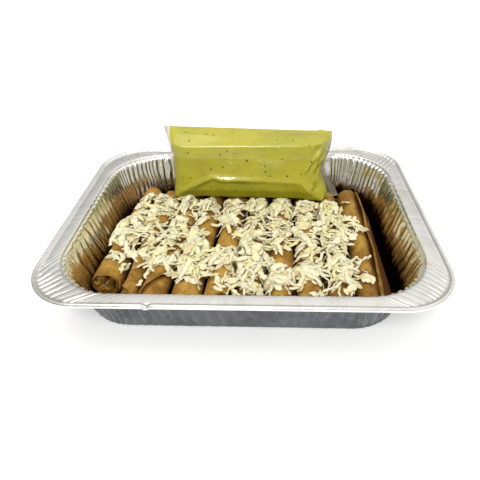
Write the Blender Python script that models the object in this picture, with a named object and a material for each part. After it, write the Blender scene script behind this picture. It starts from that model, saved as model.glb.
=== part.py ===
"""Foil tray of rolled enchiladas, topped with shredded cheese, with a sealed pouch of green sauce.

Metres, +Z up. The tray stands on Z = 0, its long side runs along X and its front faces -Y.
"""

import math
import random

import bmesh
import bpy
from mathutils import Vector

MM = 0.001
GAP = 0.3 * MM

# The foil tray: a half-size pan with a fluted wall and a beaded rim.
RIM_LENGTH = 324 * MM
RIM_WIDTH = 264 * MM
RIM_HEIGHT = 50 * MM
RIM_CORNER = 46 * MM
OPENING_CORNER = 52 * MM
BASE_CORNER = 41 * MM
WALL = 0.8 * MM
BEAD = 4 * MM
FLANGE_INSET = 15.6 * MM
WALL_TOP_INSET = 17.6 * MM
FOOT_INSET = 30 * MM
FLOOR_INSET = 33 * MM
FOOT_HEIGHT = 4.5 * MM
LEDGE_DROP = 2.6 * MM
FLUTE_DEPTH = 1.5 * MM
CRIMP_HEIGHT = 1.2 * MM
LONG_COLUMNS = 40
SHORT_COLUMNS = 28
CORNER_COLUMNS = 19

# The rolls: ten tortillas side by side, each a flat wrap of two layers round its filling.
TORTILLA = 1.9 * MM
ROLL_SPAN = 170 * MM
ROLL_BOW = 1.5 * MM
FRONT_EDGES = [-132.5, -103.5, -86, -60, -32, -6, 20, 45, 70, 94, 118]
BACK_EDGES = [-118, -94, -70, -46, -23, 1, 25, 49, 73, 97, 121]
FRONT_ENDS = [-69, -86, -91, -92, -91, -93, -90, -92, -91, -92]
BACK_ENDS = [86, 80, 82, 79, 81, 78, 80, 82, 79, 83]
FRONT_HEIGHTS = [28.0, 24.0, 24.6, 25.4, 24.8, 25.2, 24.6, 25.0, 24.4, 25.6]
BACK_HEIGHT = 24.8
SEAM_ANGLES = [205, -62, -48, 230, 150, -100, 95, 210, -75, 52]
ROLL_POINTS = 18
ROLL_STATIONS = 5
SEAM_SWEEP = math.radians(42)
END_RAGGED = 1.6 * MM
FILLING_SETBACK = 3.2 * MM
FILLING_BULGE = 1.6 * MM
FILLING_STATIONS = 9
FILLING_POINTS = 8
FILLING_START = math.radians(20)

# The shredded cheese: clumps on the rolls' crowns, with the shreds that show fused on.
CROWN = WALL + 26.9 * MM
LEFT_ROLL_RISE = 1.4 * MM
CLUMP_THICKNESS = 5.5 * MM
CLUMP_SIDES = 13
CLUMP_SPREAD = (0.92, 1.2)
CLUMPS = [
    (-95, 35, 19, 15), (-57, 38, 25, 12), (-103, 3, 18, 19), (-62, -16, 26, 24), (-86, -44, 28, 15),
    (-43, -54, 21, 19), (-18, -42, 15, 8), (-14, 35, 24, 9), (16, 35, 19, 12), (12, -3, 21, 19),
    (8, -38, 21, 21), (4, -74, 22, 18), (36, -66, 20, 12), (57, -61, 14, 8), (52, 4, 23, 13),
    (40, 34, 14, 8), (72, 29, 27, 15), (90, 4, 19, 20), (76, -46, 24, 18), (88, -70, 17, 12),
    (-98, 24, 9, 10), (84, -20, 10, 14),
]
SHRED_COUNT = 50
SHRED_WIDTH = 3.0 * MM
SHRED_THICKNESS = 2.0 * MM
SHRED_STATIONS = 4
SHRED_SPACING = 9.5 * MM
CHEESE_BACK = 53 * MM

# The pouch: a sealed bag of sauce that lies on the rolls' back ends and leans on the back wall.
POUCH_LEFT = -73 * MM
POUCH_RIGHT = 82 * MM
POUCH_SPLAY = (-15 * MM, 5 * MM)
POUCH_BOTTOM = WALL + 26.7 * MM
POUCH_HEIGHT = 69 * MM
SEAL_BOTTOM = (63, 27.8)
SEAL_TOP = (88, 96)
SEAL_TILT = -5 * MM
SEAL_WIDTH = 5 * MM
SEAL_THICKNESS = 1.0 * MM
POUCH_SECTION = [
    (61, 27), (56.5, 38), (55.5, 56), (57, 74), (62, 88), (74, 92.5), (88, 94), (100, 84),
    (107, 66), (109.5, 50), (106, 36), (96, 27),
]
POUCH_STATIONS = 12
POUCH_POINTS_A_SPAN = 2


def clear_scene():
    """Removes the startup objects."""
    for obj in list(bpy.data.objects):
        bpy.data.objects.remove(obj)


def make_material(name, colour, roughness, metallic=0.0):
    """A Principled material with one colour."""
    material = bpy.data.materials.new(name)
    material.use_nodes = True
    shader = material.node_tree.nodes["Principled BSDF"]
    shader.inputs["Base Color"].default_value = (*colour, 1.0)
    shader.inputs["Roughness"].default_value = roughness
    shader.inputs["Metallic"].default_value = metallic
    return material


def make_object(name, mesh, collection, material=None):
    """A mesh object in the collection, with its material if it has one."""
    obj = bpy.data.objects.new(name, mesh)
    collection.objects.link(obj)
    if material:
        mesh.materials.append(material)
    return obj


def loft(name, rings, closed_profile=False, cap_rise=0.0):
    """A mesh through rings of equally many points, capped at both ends unless the rings close on themselves.

    A cap with a rise becomes a shallow cone.
    """
    bm = bmesh.new()
    rows = [[bm.verts.new(point) for point in ring] for ring in rings]
    bands = list(zip(rows, rows[1:]))
    if closed_profile:
        bands.append((rows[-1], rows[0]))
    for first, second in bands:
        for k in range(len(first)):
            following = (k + 1) % len(first)
            bm.faces.new((first[k], first[following], second[following], second[k]))
    caps = []
    if not closed_profile:
        caps = [bm.faces.new(rows[0][::-1]), bm.faces.new(rows[-1])]
    bmesh.ops.recalc_face_normals(bm, faces=bm.faces)
    if cap_rise:
        bmesh.ops.poke(bm, faces=caps, offset=cap_rise)
    mesh = bpy.data.meshes.new(name)
    bm.to_mesh(mesh)
    bm.free()
    return mesh


def flatten(obj, degrees):
    """Joins neighbouring faces that lie within an angle of one plane."""
    bm = bmesh.new()
    bm.from_mesh(obj.data)
    bmesh.ops.dissolve_limit(bm, angle_limit=math.radians(degrees), verts=bm.verts, edges=bm.edges)
    bm.to_mesh(obj.data)
    bm.free()


def tray_ring(inset, corner):
    """Points and outward normals round the tray at an inset from the rim, with a flag for the corners."""
    half_x = RIM_LENGTH / 2 - inset - corner
    half_y = RIM_WIDTH / 2 - inset - corner
    centres = [(half_x, half_y), (-half_x, half_y), (-half_x, -half_y), (half_x, -half_y)]
    ring = []
    for quarter, centre in enumerate(centres):
        for k in range(CORNER_COLUMNS):
            angle = math.radians(90 * (quarter + k / CORNER_COLUMNS))
            normal = Vector((math.cos(angle), math.sin(angle), 0))
            ring.append((Vector((*centre, 0)) + corner * normal, normal, k > 0))
        angle = math.radians(90 * (quarter + 1))
        normal = Vector((math.cos(angle), math.sin(angle), 0))
        begin = Vector((*centre, 0)) + corner * normal
        end = Vector((*centres[(quarter + 1) % 4], 0)) + corner * normal
        columns = LONG_COLUMNS if quarter % 2 == 0 else SHORT_COLUMNS
        ring += [(begin.lerp(end, k / columns), normal, False) for k in range(columns)]
    return ring


def tray_row(inset, corner, height, flute=0.0, crimp=0.0):
    """One row of the tray's profile, with the share of the wall's flutes and of the rim's crimps that it takes."""
    draw = random.Random(5)
    points = []
    for column, (point, normal, in_corner) in enumerate(tray_ring(inset, corner)):
        side = 1 if column % 2 else -1
        strength = draw.uniform(0.7, 1.2)
        shift = side * strength * FLUTE_DEPTH / 2 * flute
        lift = side * strength * CRIMP_HEIGHT / 2 * crimp if in_corner else 0.0
        points.append(point + normal * shift + Vector((0, 0, height + lift)))
    return points


def build_tray(collection, material):
    """The foil tray as one shell: floor, rounded foot, fluted wall, ledge, flange and bead."""
    top = RIM_HEIGHT
    ledge = RIM_HEIGHT - LEDGE_DROP
    side = WALL * 1.05
    rows = [
        tray_row(FLOOR_INSET, BASE_CORNER - 4 * MM, WALL),
        tray_row(FOOT_INSET, BASE_CORNER, FOOT_HEIGHT, 0.5),
        tray_row(WALL_TOP_INSET, OPENING_CORNER, ledge, 1.0),
        tray_row(FLANGE_INSET, OPENING_CORNER - 1 * MM, top, 0.0, 0.4),
        tray_row(BEAD, RIM_CORNER - 3 * MM, top + 0.2 * MM, 0.0, 1.0),
        tray_row(BEAD / 2, RIM_CORNER - 2 * MM, top + BEAD / 2),
        tray_row(0.0, RIM_CORNER, top),
        tray_row(BEAD / 2, RIM_CORNER - 2 * MM, top - BEAD / 2),
        tray_row(BEAD, RIM_CORNER - 3 * MM, top + 0.2 * MM - WALL, 0.0, 1.0),
        tray_row(FLANGE_INSET - WALL / 2, OPENING_CORNER - 1 * MM, top - WALL, 0.0, 0.4),
        tray_row(WALL_TOP_INSET - side, OPENING_CORNER + WALL, ledge - WALL / 2, 1.0),
        tray_row(FOOT_INSET - side, BASE_CORNER + WALL, FOOT_HEIGHT - WALL / 4, 0.5),
        tray_row(FLOOR_INSET - WALL / 2, BASE_CORNER - 4 * MM, 0.0),
    ]
    tray = make_object("tray", loft("tray", rows), collection, material)
    flatten(tray, 0.4)
    return tray


class Roll:
    """One rolled tortilla: where its axis runs, how wide it is and how its layers lie."""

    def __init__(self, index):
        draw = random.Random(40 + index)
        self.edges = (FRONT_EDGES[index], BACK_EDGES[index], FRONT_EDGES[index + 1], BACK_EDGES[index + 1])
        self.front = FRONT_ENDS[index] * MM
        self.back = BACK_ENDS[index] * MM
        self.front_height = FRONT_HEIGHTS[index] * MM
        self.seam = math.radians(SEAM_ANGLES[index])
        self.narrowing = draw.uniform(0.3, 1.1) * MM
        self.phase = draw.uniform(0, math.tau)

    def side(self, first, last, y):
        """The line between two slots, from its place at the front to that at the back, bowed outwards."""
        share = (y + ROLL_SPAN / 2) / ROLL_SPAN
        straight = (first + (last - first) * share) * MM
        return straight + ROLL_BOW * (straight / (120 * MM)) * (1 - (2 * share - 1) ** 2)

    def axis(self, y):
        """The axis point, the half width and the half height at a distance along the tray."""
        left = self.side(self.edges[0], self.edges[1], y)
        right = self.side(self.edges[2], self.edges[3], y)
        half_width = (right - left) / 2 - GAP - self.narrowing
        share = (y - self.front) / (self.back - self.front)
        half_height = (self.front_height + (BACK_HEIGHT * MM - self.front_height) * share) / 2
        return Vector(((left + right) / 2, y, WALL + GAP + half_height)), half_width, half_height

    def stations(self, count=ROLL_STATIONS):
        """Distances along the tray where the roll has a ring of points."""
        return [self.front + (self.back - self.front) * k / (count - 1) for k in range(count)]

    def seam_at(self, y):
        """The seam's angle: the round tortilla's edge bows away from its place at the ends."""
        middle = (self.front + self.back) / 2
        share = min(1.0, abs(y - middle) / (self.back - middle))
        return self.seam - SEAM_SWEEP * share**2

    def point(self, y, angle, inset, end_shift=0.0):
        """A point of the cross-section, an inset inside the outer layer, at an angle from the top."""
        centre, half_width, half_height = self.axis(y)
        x = math.sin(angle) * (half_width - inset)
        z = math.cos(angle) * (half_height - inset)
        z = max(z, -(half_height - inset) * 0.97)
        return centre + Vector((x, end_shift, z))

    def outer_ring(self, y, end):
        """The outside, from the seam's upper edge round to the layer under it."""
        ring = []
        for k in range(ROLL_POINTS):
            share = k / (ROLL_POINTS - 1)
            angle = self.seam_at(y) - math.tau * share
            ragged = END_RAGGED * math.sin(angle * 2 + self.phase) * end
            pulled = -4 * MM * end * max(0.0, 1 - share / 0.12)
            ring.append(self.point(y, angle, TORTILLA * share, ragged + pulled))
        return ring

    def bore_ring(self, y, end, inset=2 * TORTILLA + 0.2 * MM, count=ROLL_POINTS, start=None):
        """The round space that the filling takes up, at one station."""
        start = self.seam_at(self.front) if start is None else start
        angles = [start - math.tau * k / count for k in range(count)]
        return [
            self.point(y, angle, inset, END_RAGGED * math.sin(angle * 2 + self.phase) * end)
            for angle in angles
        ]


def build_tortilla(index, collection, material):
    """The wrap as a tube: the outside with its seam's step, and the bore that the filling lies in."""
    roll = Roll(index)
    stations = roll.stations()
    ends = [-1] + [0] * (ROLL_STATIONS - 2) + [1]
    rings = [roll.outer_ring(y, end) for y, end in zip(stations, ends)]
    rings += [roll.bore_ring(y, end) for y, end in zip(stations[::-2], ends[::-2])]
    name = f"tortilla_{index + 1:02d}"
    mesh = loft(name, rings, closed_profile=True)
    mesh.shade_smooth()
    mesh.set_sharp_from_angle(angle=math.radians(40))
    return make_object(name, mesh, collection, material)


def build_filling(index, collection, material):
    """The filling that runs through one roll, with a lumpy face at each end."""
    roll = Roll(index)
    draw = random.Random(90 + index)
    stations = roll.stations(FILLING_STATIONS)
    stations[0] += FILLING_SETBACK
    stations[-1] -= FILLING_SETBACK
    # The bore's flat sides come nearer to the axis than its corners do, so the filling stays well inside them.
    inset = 2 * TORTILLA + 1.0 * MM
    rings = [roll.bore_ring(y, 0, inset, FILLING_POINTS, FILLING_START) for y in stations]
    for ring, towards in ((rings[0], -1), (rings[-1], 1)):
        for point in ring:
            point.y += towards * draw.uniform(-1.2, 1.2) * MM
    for y, place, towards in ((stations[0], 0, -1), (stations[-1], len(rings), 1)):
        centre = roll.axis(y)[0]
        ring = rings[0] if place == 0 else rings[-1]
        face = [centre + (point - centre) * draw.uniform(0.42, 0.6) for point in ring]
        for point in face:
            point.y = y + towards * FILLING_BULGE
        rings.insert(place, face)
    name = f"filling_{index + 1:02d}"
    return make_object(name, loft(name, rings, cap_rise=FILLING_BULGE / 2), collection, material)


def rest_height(x):
    """The height of the rolls' crowns under the cheese: the leftmost roll stands higher than the others."""
    return CROWN + LEFT_ROLL_RISE * min(1.0, max(0.0, (-96 * MM - x) / (10 * MM)))


def clump_height(x, y):
    """The cheese core's upper face at a place, or None beside it."""
    heights = []
    for centre_x, centre_y, half_x, half_y in CLUMPS:
        outside = ((x / MM - centre_x) / half_x) ** 2 + ((y / MM - centre_y) / half_y) ** 2
        if outside < 0.9:
            heights.append(rest_height(x) + CLUMP_THICKNESS * (0.4 + 0.6 * math.sqrt(1 - outside)))
    return max(heights, default=None)


def clump_mesh(draw, centre_x, centre_y, half_x, half_y):
    """One flattened clump with an uneven outline, resting on the rolls' crowns."""
    spread = [draw.uniform(*CLUMP_SPREAD) for _ in range(CLUMP_SIDES)]
    lift = draw.uniform(0, 0.6) * MM
    rings = []
    for radius, height in ((0.93, 0.0), (1.0, 0.3), (0.6, 0.92)):
        ring = []
        for k, reach in enumerate(spread):
            angle = math.tau * k / CLUMP_SIDES
            x = (centre_x + math.cos(angle) * half_x * radius * reach) * MM
            y = (centre_y + math.sin(angle) * half_y * radius * reach) * MM
            ring.append(Vector((x, y, rest_height(x) + lift + CLUMP_THICKNESS * height)))
        rings.append(ring)
    return loft("clump", rings)


def shred_mesh(draw, x, y):
    """One curved strip of cheese through a place on the heap, or None where too little of it would touch."""
    length = draw.uniform(16, 32) * MM
    heading = draw.uniform(0, math.tau)
    curl = draw.uniform(-1.4, 1.4)
    width = SHRED_WIDTH * draw.uniform(0.8, 1.2)
    rise = draw.uniform(0.8, 2.6) * MM
    line = []
    on_heap = 0
    for k in range(SHRED_STATIONS):
        along = k / (SHRED_STATIONS - 1) - 0.5
        angle = heading + curl * along
        place = Vector((x, y, 0)) + Vector((math.cos(angle), math.sin(angle), 0)) * along * length
        height = clump_height(place.x, place.y)
        on_heap += height is not None
        place.z = (height or rest_height(place.x) + SHRED_THICKNESS / 2) + rise * 4 * (abs(along) - 1 / 6) ** 2
        line.append((place, angle))
    if on_heap < 2 or not any(clump_height(place.x, place.y) for place, _ in line[1:3]):
        return None
    if max(place.y for place, _ in line) > CHEESE_BACK:
        return None
    rings = []
    for k, (place, angle) in enumerate(line):
        across = Vector((-math.sin(angle), math.cos(angle), 0)) * width / 2
        up = Vector((0, 0, SHRED_THICKNESS / 2))
        if k in (0, SHRED_STATIONS - 1):
            across *= 0.6
        rings.append([place - across - up, place + across - up, place + across + up, place - across + up])
    return loft("shred", rings)


def build_cheese(collection, material):
    """The shredded cheese: clumps joined into one heap, with the shreds that show fused on."""
    pieces = bpy.data.collections.new("cheese pieces")
    bpy.context.scene.collection.children.link(pieces)
    draw = random.Random(14)
    core = make_object("shredded_cheese", clump_mesh(draw, *CLUMPS[0]), collection, material)
    for clump in CLUMPS[1:]:
        make_object("clump", clump_mesh(draw, *clump), pieces)
    placed = []
    while len(placed) < SHRED_COUNT:
        x = draw.uniform(-126, 112) * MM
        y = draw.uniform(-95, 50) * MM
        if any(math.hypot(x - other_x, y - other_y) < SHRED_SPACING for other_x, other_y in placed):
            continue
        if clump_height(x, y) is None:
            continue
        mesh = shred_mesh(draw, x, y)
        if mesh is None:
            continue
        placed.append((x, y))
        make_object("shred", mesh, pieces)
    union = core.modifiers.new("fuse", "BOOLEAN")
    union.operation = "UNION"
    union.operand_type = "COLLECTION"
    union.collection = pieces
    union.solver = "MANIFOLD"
    fused = bpy.data.meshes.new_from_object(core.evaluated_get(bpy.context.evaluated_depsgraph_get()))
    core.modifiers.remove(union)
    core.data = fused
    flatten(core, 2.0)
    for obj in list(pieces.objects):
        bpy.data.objects.remove(obj)
    bpy.data.collections.remove(pieces)
    return core


def section_points():
    """The pouch's widest cross-section as a smooth closed line through its few shaping points."""
    corners = [Vector(point) for point in POUCH_SECTION]
    count = len(corners)
    line = []
    for k in range(count):
        before, here, after, beyond = (corners[(k + step) % count] for step in (-1, 0, 1, 2))
        for step in range(POUCH_POINTS_A_SPAN):
            t = step / POUCH_POINTS_A_SPAN
            line.append(
                0.5 * (2 * here + (after - before) * t + (2 * before - 5 * here + 4 * after - beyond) * t**2
                       + (3 * here - before - 3 * after + beyond) * t**3)
            )
    return line


def seal_point(share):
    """A point of the flat end seal: up its front face in the first half, and down its back face."""
    rising = share * 2 if share < 0.5 else 2 - share * 2
    low, high = Vector(SEAL_BOTTOM), Vector(SEAL_TOP)
    normal = Vector((-(high - low).y, (high - low).x)).normalized()
    side = SEAL_THICKNESS / MM / 2 * (1 if share < 0.5 else -1)
    return low.lerp(high, min(1.0, max(0.0, rising))) + normal * side


def build_pouch(collection, material):
    """The sealed pouch: full in the middle, and flat at the two end seals."""
    section = section_points()
    count = len(section)
    rings = []
    for k in range(-1, POUCH_STATIONS + 2):
        share = min(1.0, max(0.0, k / POUCH_STATIONS))
        u = 2 * share - 1
        fullness = max(0.0, 1 - abs(u) ** 3.2) ** 0.5
        x = POUCH_LEFT + SEAL_WIDTH + (POUCH_RIGHT - POUCH_LEFT - 2 * SEAL_WIDTH) * share
        if k < 0:
            x = POUCH_LEFT
        elif k > POUCH_STATIONS:
            x = POUCH_RIGHT
        ring = []
        for n, full in enumerate(section):
            flat = seal_point((n + 0.5) / count)
            at = flat.lerp(full, fullness)
            rising = (at.y * MM - POUCH_BOTTOM) / POUCH_HEIGHT
            height = at.y * MM + SEAL_TILT * (share - 0.5) * rising
            splay = (POUCH_SPLAY[0] + (POUCH_SPLAY[1] - POUCH_SPLAY[0]) * share) * rising
            ring.append(Vector((x + splay, at.x * MM, max(height, POUCH_BOTTOM))))
        rings.append(ring)
    mesh = loft("sauce_pouch", rings)
    mesh.shade_smooth()
    mesh.set_sharp_from_angle(angle=math.radians(50))
    return make_object("sauce_pouch", mesh, collection, material)


def main():
    """Builds every piece in the object's own collection."""
    clear_scene()
    collection = bpy.data.collections.new("enchiladas in a foil tray")
    bpy.context.scene.collection.children.link(collection)
    foil = make_material("foil", (0.80, 0.79, 0.77), 0.25, 1.0)
    tortilla = make_material("tortilla", (0.46, 0.27, 0.09), 0.55)
    filling = make_material("filling", (0.30, 0.17, 0.04), 0.7)
    cheese = make_material("cheese", (0.86, 0.80, 0.58), 0.5)
    sauce = make_material("sauce pouch", (0.44, 0.42, 0.06), 0.2)
    build_tray(collection, foil)
    for index in range(len(FRONT_ENDS)):
        build_tortilla(index, collection, tortilla)
        build_filling(index, collection, filling)
    build_cheese(collection, cheese)
    build_pouch(collection, sauce)


main()
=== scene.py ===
"""Rolled enchiladas in a pressed foil tray, with shredded cheese and a sealed pouch of green sauce.

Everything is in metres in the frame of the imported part: +Z up, the tray's long side along X, its front at -Y.
"""

import logging
import math
import sys
from collections.abc import Mapping, Sequence
from dataclasses import dataclass, field
from enum import Enum
from typing import Any

import bpy
import numpy as np
from mathutils import Matrix, Vector

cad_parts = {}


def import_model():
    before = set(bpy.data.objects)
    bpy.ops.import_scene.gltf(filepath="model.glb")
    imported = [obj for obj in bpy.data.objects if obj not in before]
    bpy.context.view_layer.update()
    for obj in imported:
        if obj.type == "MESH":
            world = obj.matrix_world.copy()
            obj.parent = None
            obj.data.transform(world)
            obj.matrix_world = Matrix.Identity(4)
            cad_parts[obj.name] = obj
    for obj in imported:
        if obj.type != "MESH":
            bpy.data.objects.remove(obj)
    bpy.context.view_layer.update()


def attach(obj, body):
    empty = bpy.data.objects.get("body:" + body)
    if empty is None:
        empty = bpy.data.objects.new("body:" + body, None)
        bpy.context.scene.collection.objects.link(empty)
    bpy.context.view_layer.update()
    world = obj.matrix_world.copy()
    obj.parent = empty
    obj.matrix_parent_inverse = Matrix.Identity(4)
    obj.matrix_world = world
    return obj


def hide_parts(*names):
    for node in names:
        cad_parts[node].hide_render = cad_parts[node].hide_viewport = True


LOG = logging.getLogger("enchiladas")
BODY = "root"
MM = 0.001
TAU = math.tau
Colour = tuple[float, float, float, float]
Numbers = tuple[float, ...]
Pairs = tuple[tuple[float, float], ...]
Array = np.ndarray
Material = bpy.types.Material
Object = bpy.types.Object
Socket = bpy.types.NodeSocket
VECTOR = "NodeSocketVector"
NUMBER_SOCKETS = {float: "NodeSocketFloat", int: "NodeSocketInt"}


class Slot(Enum):
    """The record's material slots."""

    FOIL = "foil"
    TORTILLA = "tortilla"
    FILLING = "filling"
    CHEESE = "cheese"
    POUCH = "sauce_pouch"


# Node trees


class Graph:
    """Adds, sets and links the nodes of one tree."""

    def __init__(self, tree: bpy.types.NodeTree) -> None:
        """Keeps the tree."""
        self.tree = tree

    def feed(self, socket: Socket, value: Any) -> None:
        """Links a socket to the one that feeds it, or sets its value.

        Args:
            socket: The input socket.
            value: The socket that feeds it, or its value.
        """
        if isinstance(value, Socket):
            self.tree.links.new(value, socket)
        else:
            socket.default_value = value

    def add(
        self, kind: str, inputs: Mapping[str | int, Any] | None = None, **settings: Any
    ) -> bpy.types.Node:
        """Adds one node.

        Args:
            kind: The node's type name.
            inputs: Input sockets by name or number, each with its value or the socket that feeds it.
            settings: The node's own properties.

        Returns:
            The new node.
        """
        node = self.tree.nodes.new(kind)
        for name, value in settings.items():
            setattr(node, name, value)
        for key, value in (inputs or {}).items():
            self.feed(node.inputs[key], value)
        return node

    def out(self, kind: str, inputs: Mapping[str | int, Any] | None = None, **settings: Any) -> Socket:
        """Adds one node and returns its first output."""
        return self.add(kind, inputs, **settings).outputs[0]

    def math(self, operation: str, first: Any, second: Any = 0.0) -> Socket:
        """Adds a Math node and returns its result."""
        return self.out("ShaderNodeMath", {0: first, 1: second}, operation=operation)

    def times(self, first: Any, second: Any) -> Socket:
        """Multiplies two values."""
        return self.math("MULTIPLY", first, second)

    def mix(self, factor: Any, first: Any, second: Any) -> Socket:
        """Mixes two colours and returns the result."""
        return self.add("ShaderNodeMix", {0: factor, 6: first, 7: second}, data_type="RGBA").outputs[2]

    def spread(self, value: Any, low: Any, high: Any, start: float = 0.0, end: float = 1.0) -> Socket:
        """Maps a value from one range to another with soft ends and returns the result."""
        ranges = {"Value": value, "From Min": low, "From Max": high, "To Min": start, "To Max": end}
        return self.out("ShaderNodeMapRange", ranges, interpolation_type="SMOOTHSTEP")

    def attribute(self, name: str) -> Socket:
        """Reads a number that the mesh carries at each point."""
        return self.add("ShaderNodeAttribute", attribute_name=name).outputs["Fac"]


def group_tree(
    name: str, kind: str, inputs: Mapping[str, str | float], outputs: Mapping[str, str]
) -> tuple[Graph, Any, Any]:
    """Starts a node group with named inputs and outputs.

    Args:
        name: The group's name.
        kind: The type of its tree.
        inputs: Each input's first number, or the type of its socket.
        outputs: Each output's socket type.

    Returns:
        The group's graph, the sockets that it is given and those that it gives.
    """
    tree = bpy.data.node_groups.new(name, kind)
    for label, value in inputs.items():
        socket_type = value if isinstance(value, str) else NUMBER_SOCKETS[type(value)]
        socket = tree.interface.new_socket(name=label, in_out="INPUT", socket_type=socket_type)
        if socket_type != value:
            socket.default_value = value
    for label, socket_type in outputs.items():
        tree.interface.new_socket(name=label, in_out="OUTPUT", socket_type=socket_type)
    graph = Graph(tree)
    return graph, graph.add("NodeGroupInput").outputs, graph.add("NodeGroupOutput").inputs


class SharedEffects:
    """The shader node groups that more than one material uses."""

    def __init__(self) -> None:
        """Builds both groups."""
        self.mottle = self._mottle()
        self.grain = self._grain()

    @staticmethod
    def _mottle() -> bpy.types.NodeTree:
        """Soft-edged patches: a mask from 0 to 1.

        Returns:
            The group.
        """
        graph, given, result = group_tree(
            "Mottle",
            "ShaderNodeTree",
            {"Vector": VECTOR, "Scale": 100.0, "Detail": 3.0, "Warp": 0.4, "Low": 0.4, "High": 0.6},
            {"Mask": "NodeSocketFloat"},
        )
        noise = {label: given[label] for label in ("Vector", "Scale", "Detail")}
        noise |= {"Roughness": 0.6, "Distortion": given["Warp"]}
        mask = graph.spread(graph.out("ShaderNodeTexNoise", noise), given["Low"], given["High"])
        graph.feed(result["Mask"], mask)
        return graph.tree

    @staticmethod
    def _grain() -> bpy.types.NodeTree:
        """A coarse and a fine relief in one height.

        Returns:
            The group.
        """
        graph, given, result = group_tree(
            "Surface grain",
            "ShaderNodeTree",
            {"Vector": VECTOR, "Coarse Scale": 120.0, "Fine Scale": 900.0, "Fine Share": 0.4},
            {"Height": "NodeSocketFloat"},
        )
        noises = [
            {"Vector": given["Vector"], "Scale": given[label], "Detail": detail}
            for label, detail in (("Coarse Scale", 4.0), ("Fine Scale", 2.0))
        ]
        coarse, fine = (graph.out("ShaderNodeTexNoise", noise) for noise in noises)
        height = graph.out("ShaderNodeMix", {0: given["Fine Share"], 2: coarse, 3: fine}, data_type="FLOAT")
        graph.feed(result["Height"], height)
        return graph.tree


class Surface(Graph):
    """One material with its Principled shader, ready for a finish to work on."""

    def __init__(self, name: str, effects: SharedEffects) -> None:
        """Makes the material and reads the piece's own coordinates.

        Args:
            name: The material's name.
            effects: The shared effects.
        """
        self.material = bpy.data.materials.new(name)
        self.material.use_nodes = True
        super().__init__(self.material.node_tree)
        self.effects = effects
        self.shader = self.tree.nodes["Principled BSDF"]
        self.place = self.add("ShaderNodeTexCoord").outputs["Object"]

    def stretched(self, *scale: float) -> Socket:
        """The piece's coordinates, drawn out along an axis."""
        return self.out("ShaderNodeMapping", {"Vector": self.place, "Scale": scale})

    def mottle(
        self,
        scale: float,
        low: float,
        high: float,
        detail: float = 3.0,
        warp: float = 0.4,
        vector: Socket | None = None,
    ) -> Socket:
        """Places the shared patches.

        Args:
            scale: The noise's scale; a larger one makes smaller patches.
            low: The noise at which the mask starts.
            high: The noise at which the mask is full.
            detail: The noise's detail.
            warp: How much the patches are drawn out of shape.
            vector: Other coordinates than the piece's own.

        Returns:
            Their mask.
        """
        values = {"Scale": scale, "Low": low, "High": high, "Detail": detail, "Warp": warp}
        values["Vector"] = vector or self.place
        return self.out("ShaderNodeGroup", values, node_tree=self.effects.mottle)

    def relief(self, coarse: float, fine: float, share: float, distance: float, strength: float) -> None:
        """Places the shared grain under the shader's normal.

        Args:
            coarse: The coarse noise's scale.
            fine: The fine noise's scale.
            share: How much of the height is the fine noise.
            distance: The relief's height in metres.
            strength: How strongly it tells.
        """
        values = {"Vector": self.place, "Coarse Scale": coarse, "Fine Scale": fine, "Fine Share": share}
        height = self.out("ShaderNodeGroup", values, node_tree=self.effects.grain)
        bump = {"Height": height, "Distance": distance, "Strength": strength}
        self.set(Normal=self.out("ShaderNodeBump", bump))

    def layer(self, colour: Any, mask: Socket, share: float, over: Colour) -> Socket:
        """Lays a second colour over the first where a mask says so."""
        return self.mix(self.times(mask, share), colour, over)

    def set(self, **values: Any) -> None:
        """Sets or feeds the shader's sockets, named with underscores for spaces."""
        for label, value in values.items():
            self.feed(self.shader.inputs[label.replace("_", " ")], value)


# Finishes


class Finish:
    """What the finishes share: each makes a material and dresses its surface."""

    name: str

    def build(self, effects: SharedEffects) -> Material:
        """Makes the material.

        Args:
            effects: The shared effects.

        Returns:
            The material.
        """
        surface = Surface(self.name, effects)
        self.dress(surface)
        return surface.material

    def dress(self, surface: Surface) -> None:
        """Sets the shader; every finish has its own way."""
        raise NotImplementedError


@dataclass(frozen=True)
class FoilFinish(Finish):
    """Pressed aluminium foil with a satin roll mark, a few smudges, and dark brown painted shade with painted
    reflection of the food low in the tray.
    """

    name: str
    clean: Colour
    smudged: Colour
    roughness: tuple[float, float]
    bumps: float
    painted_shade_colour: Colour = (0.09, 0.034, 0.008, 1)
    painted_shade_share: float = 1.0

    def dress(self, surface: Surface) -> None:
        """Dresses the foil.

        Args:
            surface: The material's surface.
        """
        smudge = surface.mottle(26, 0.42, 0.72, detail=4.0, warp=0.8)
        streak = surface.mottle(220, 0.35, 0.75, vector=surface.stretched(1, 0.08, 1))
        patches = surface.mottle(75, 0.3, 0.7, detail=4.0, warp=1.0)
        # Dark brown painted shade and painted reflection of the food, mostly low in the tray, broken up by
        # patches.
        painted_shade = surface.math("ADD", surface.attribute("painted_shade"), surface.times(patches, 0.5))
        painted_shade = surface.times(surface.spread(painted_shade, 0.45, 1.05), self.painted_shade_share)
        surface.set(
            Base_Color=surface.mix(painted_shade, surface.mix(smudge, self.clean, self.smudged), self.painted_shade_colour),
            Metallic=1.0,
            Roughness=surface.spread(streak, 0, 1, *self.roughness),
        )
        surface.relief(110, 700, 0.2, 0.4 * MM, self.bumps)


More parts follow.
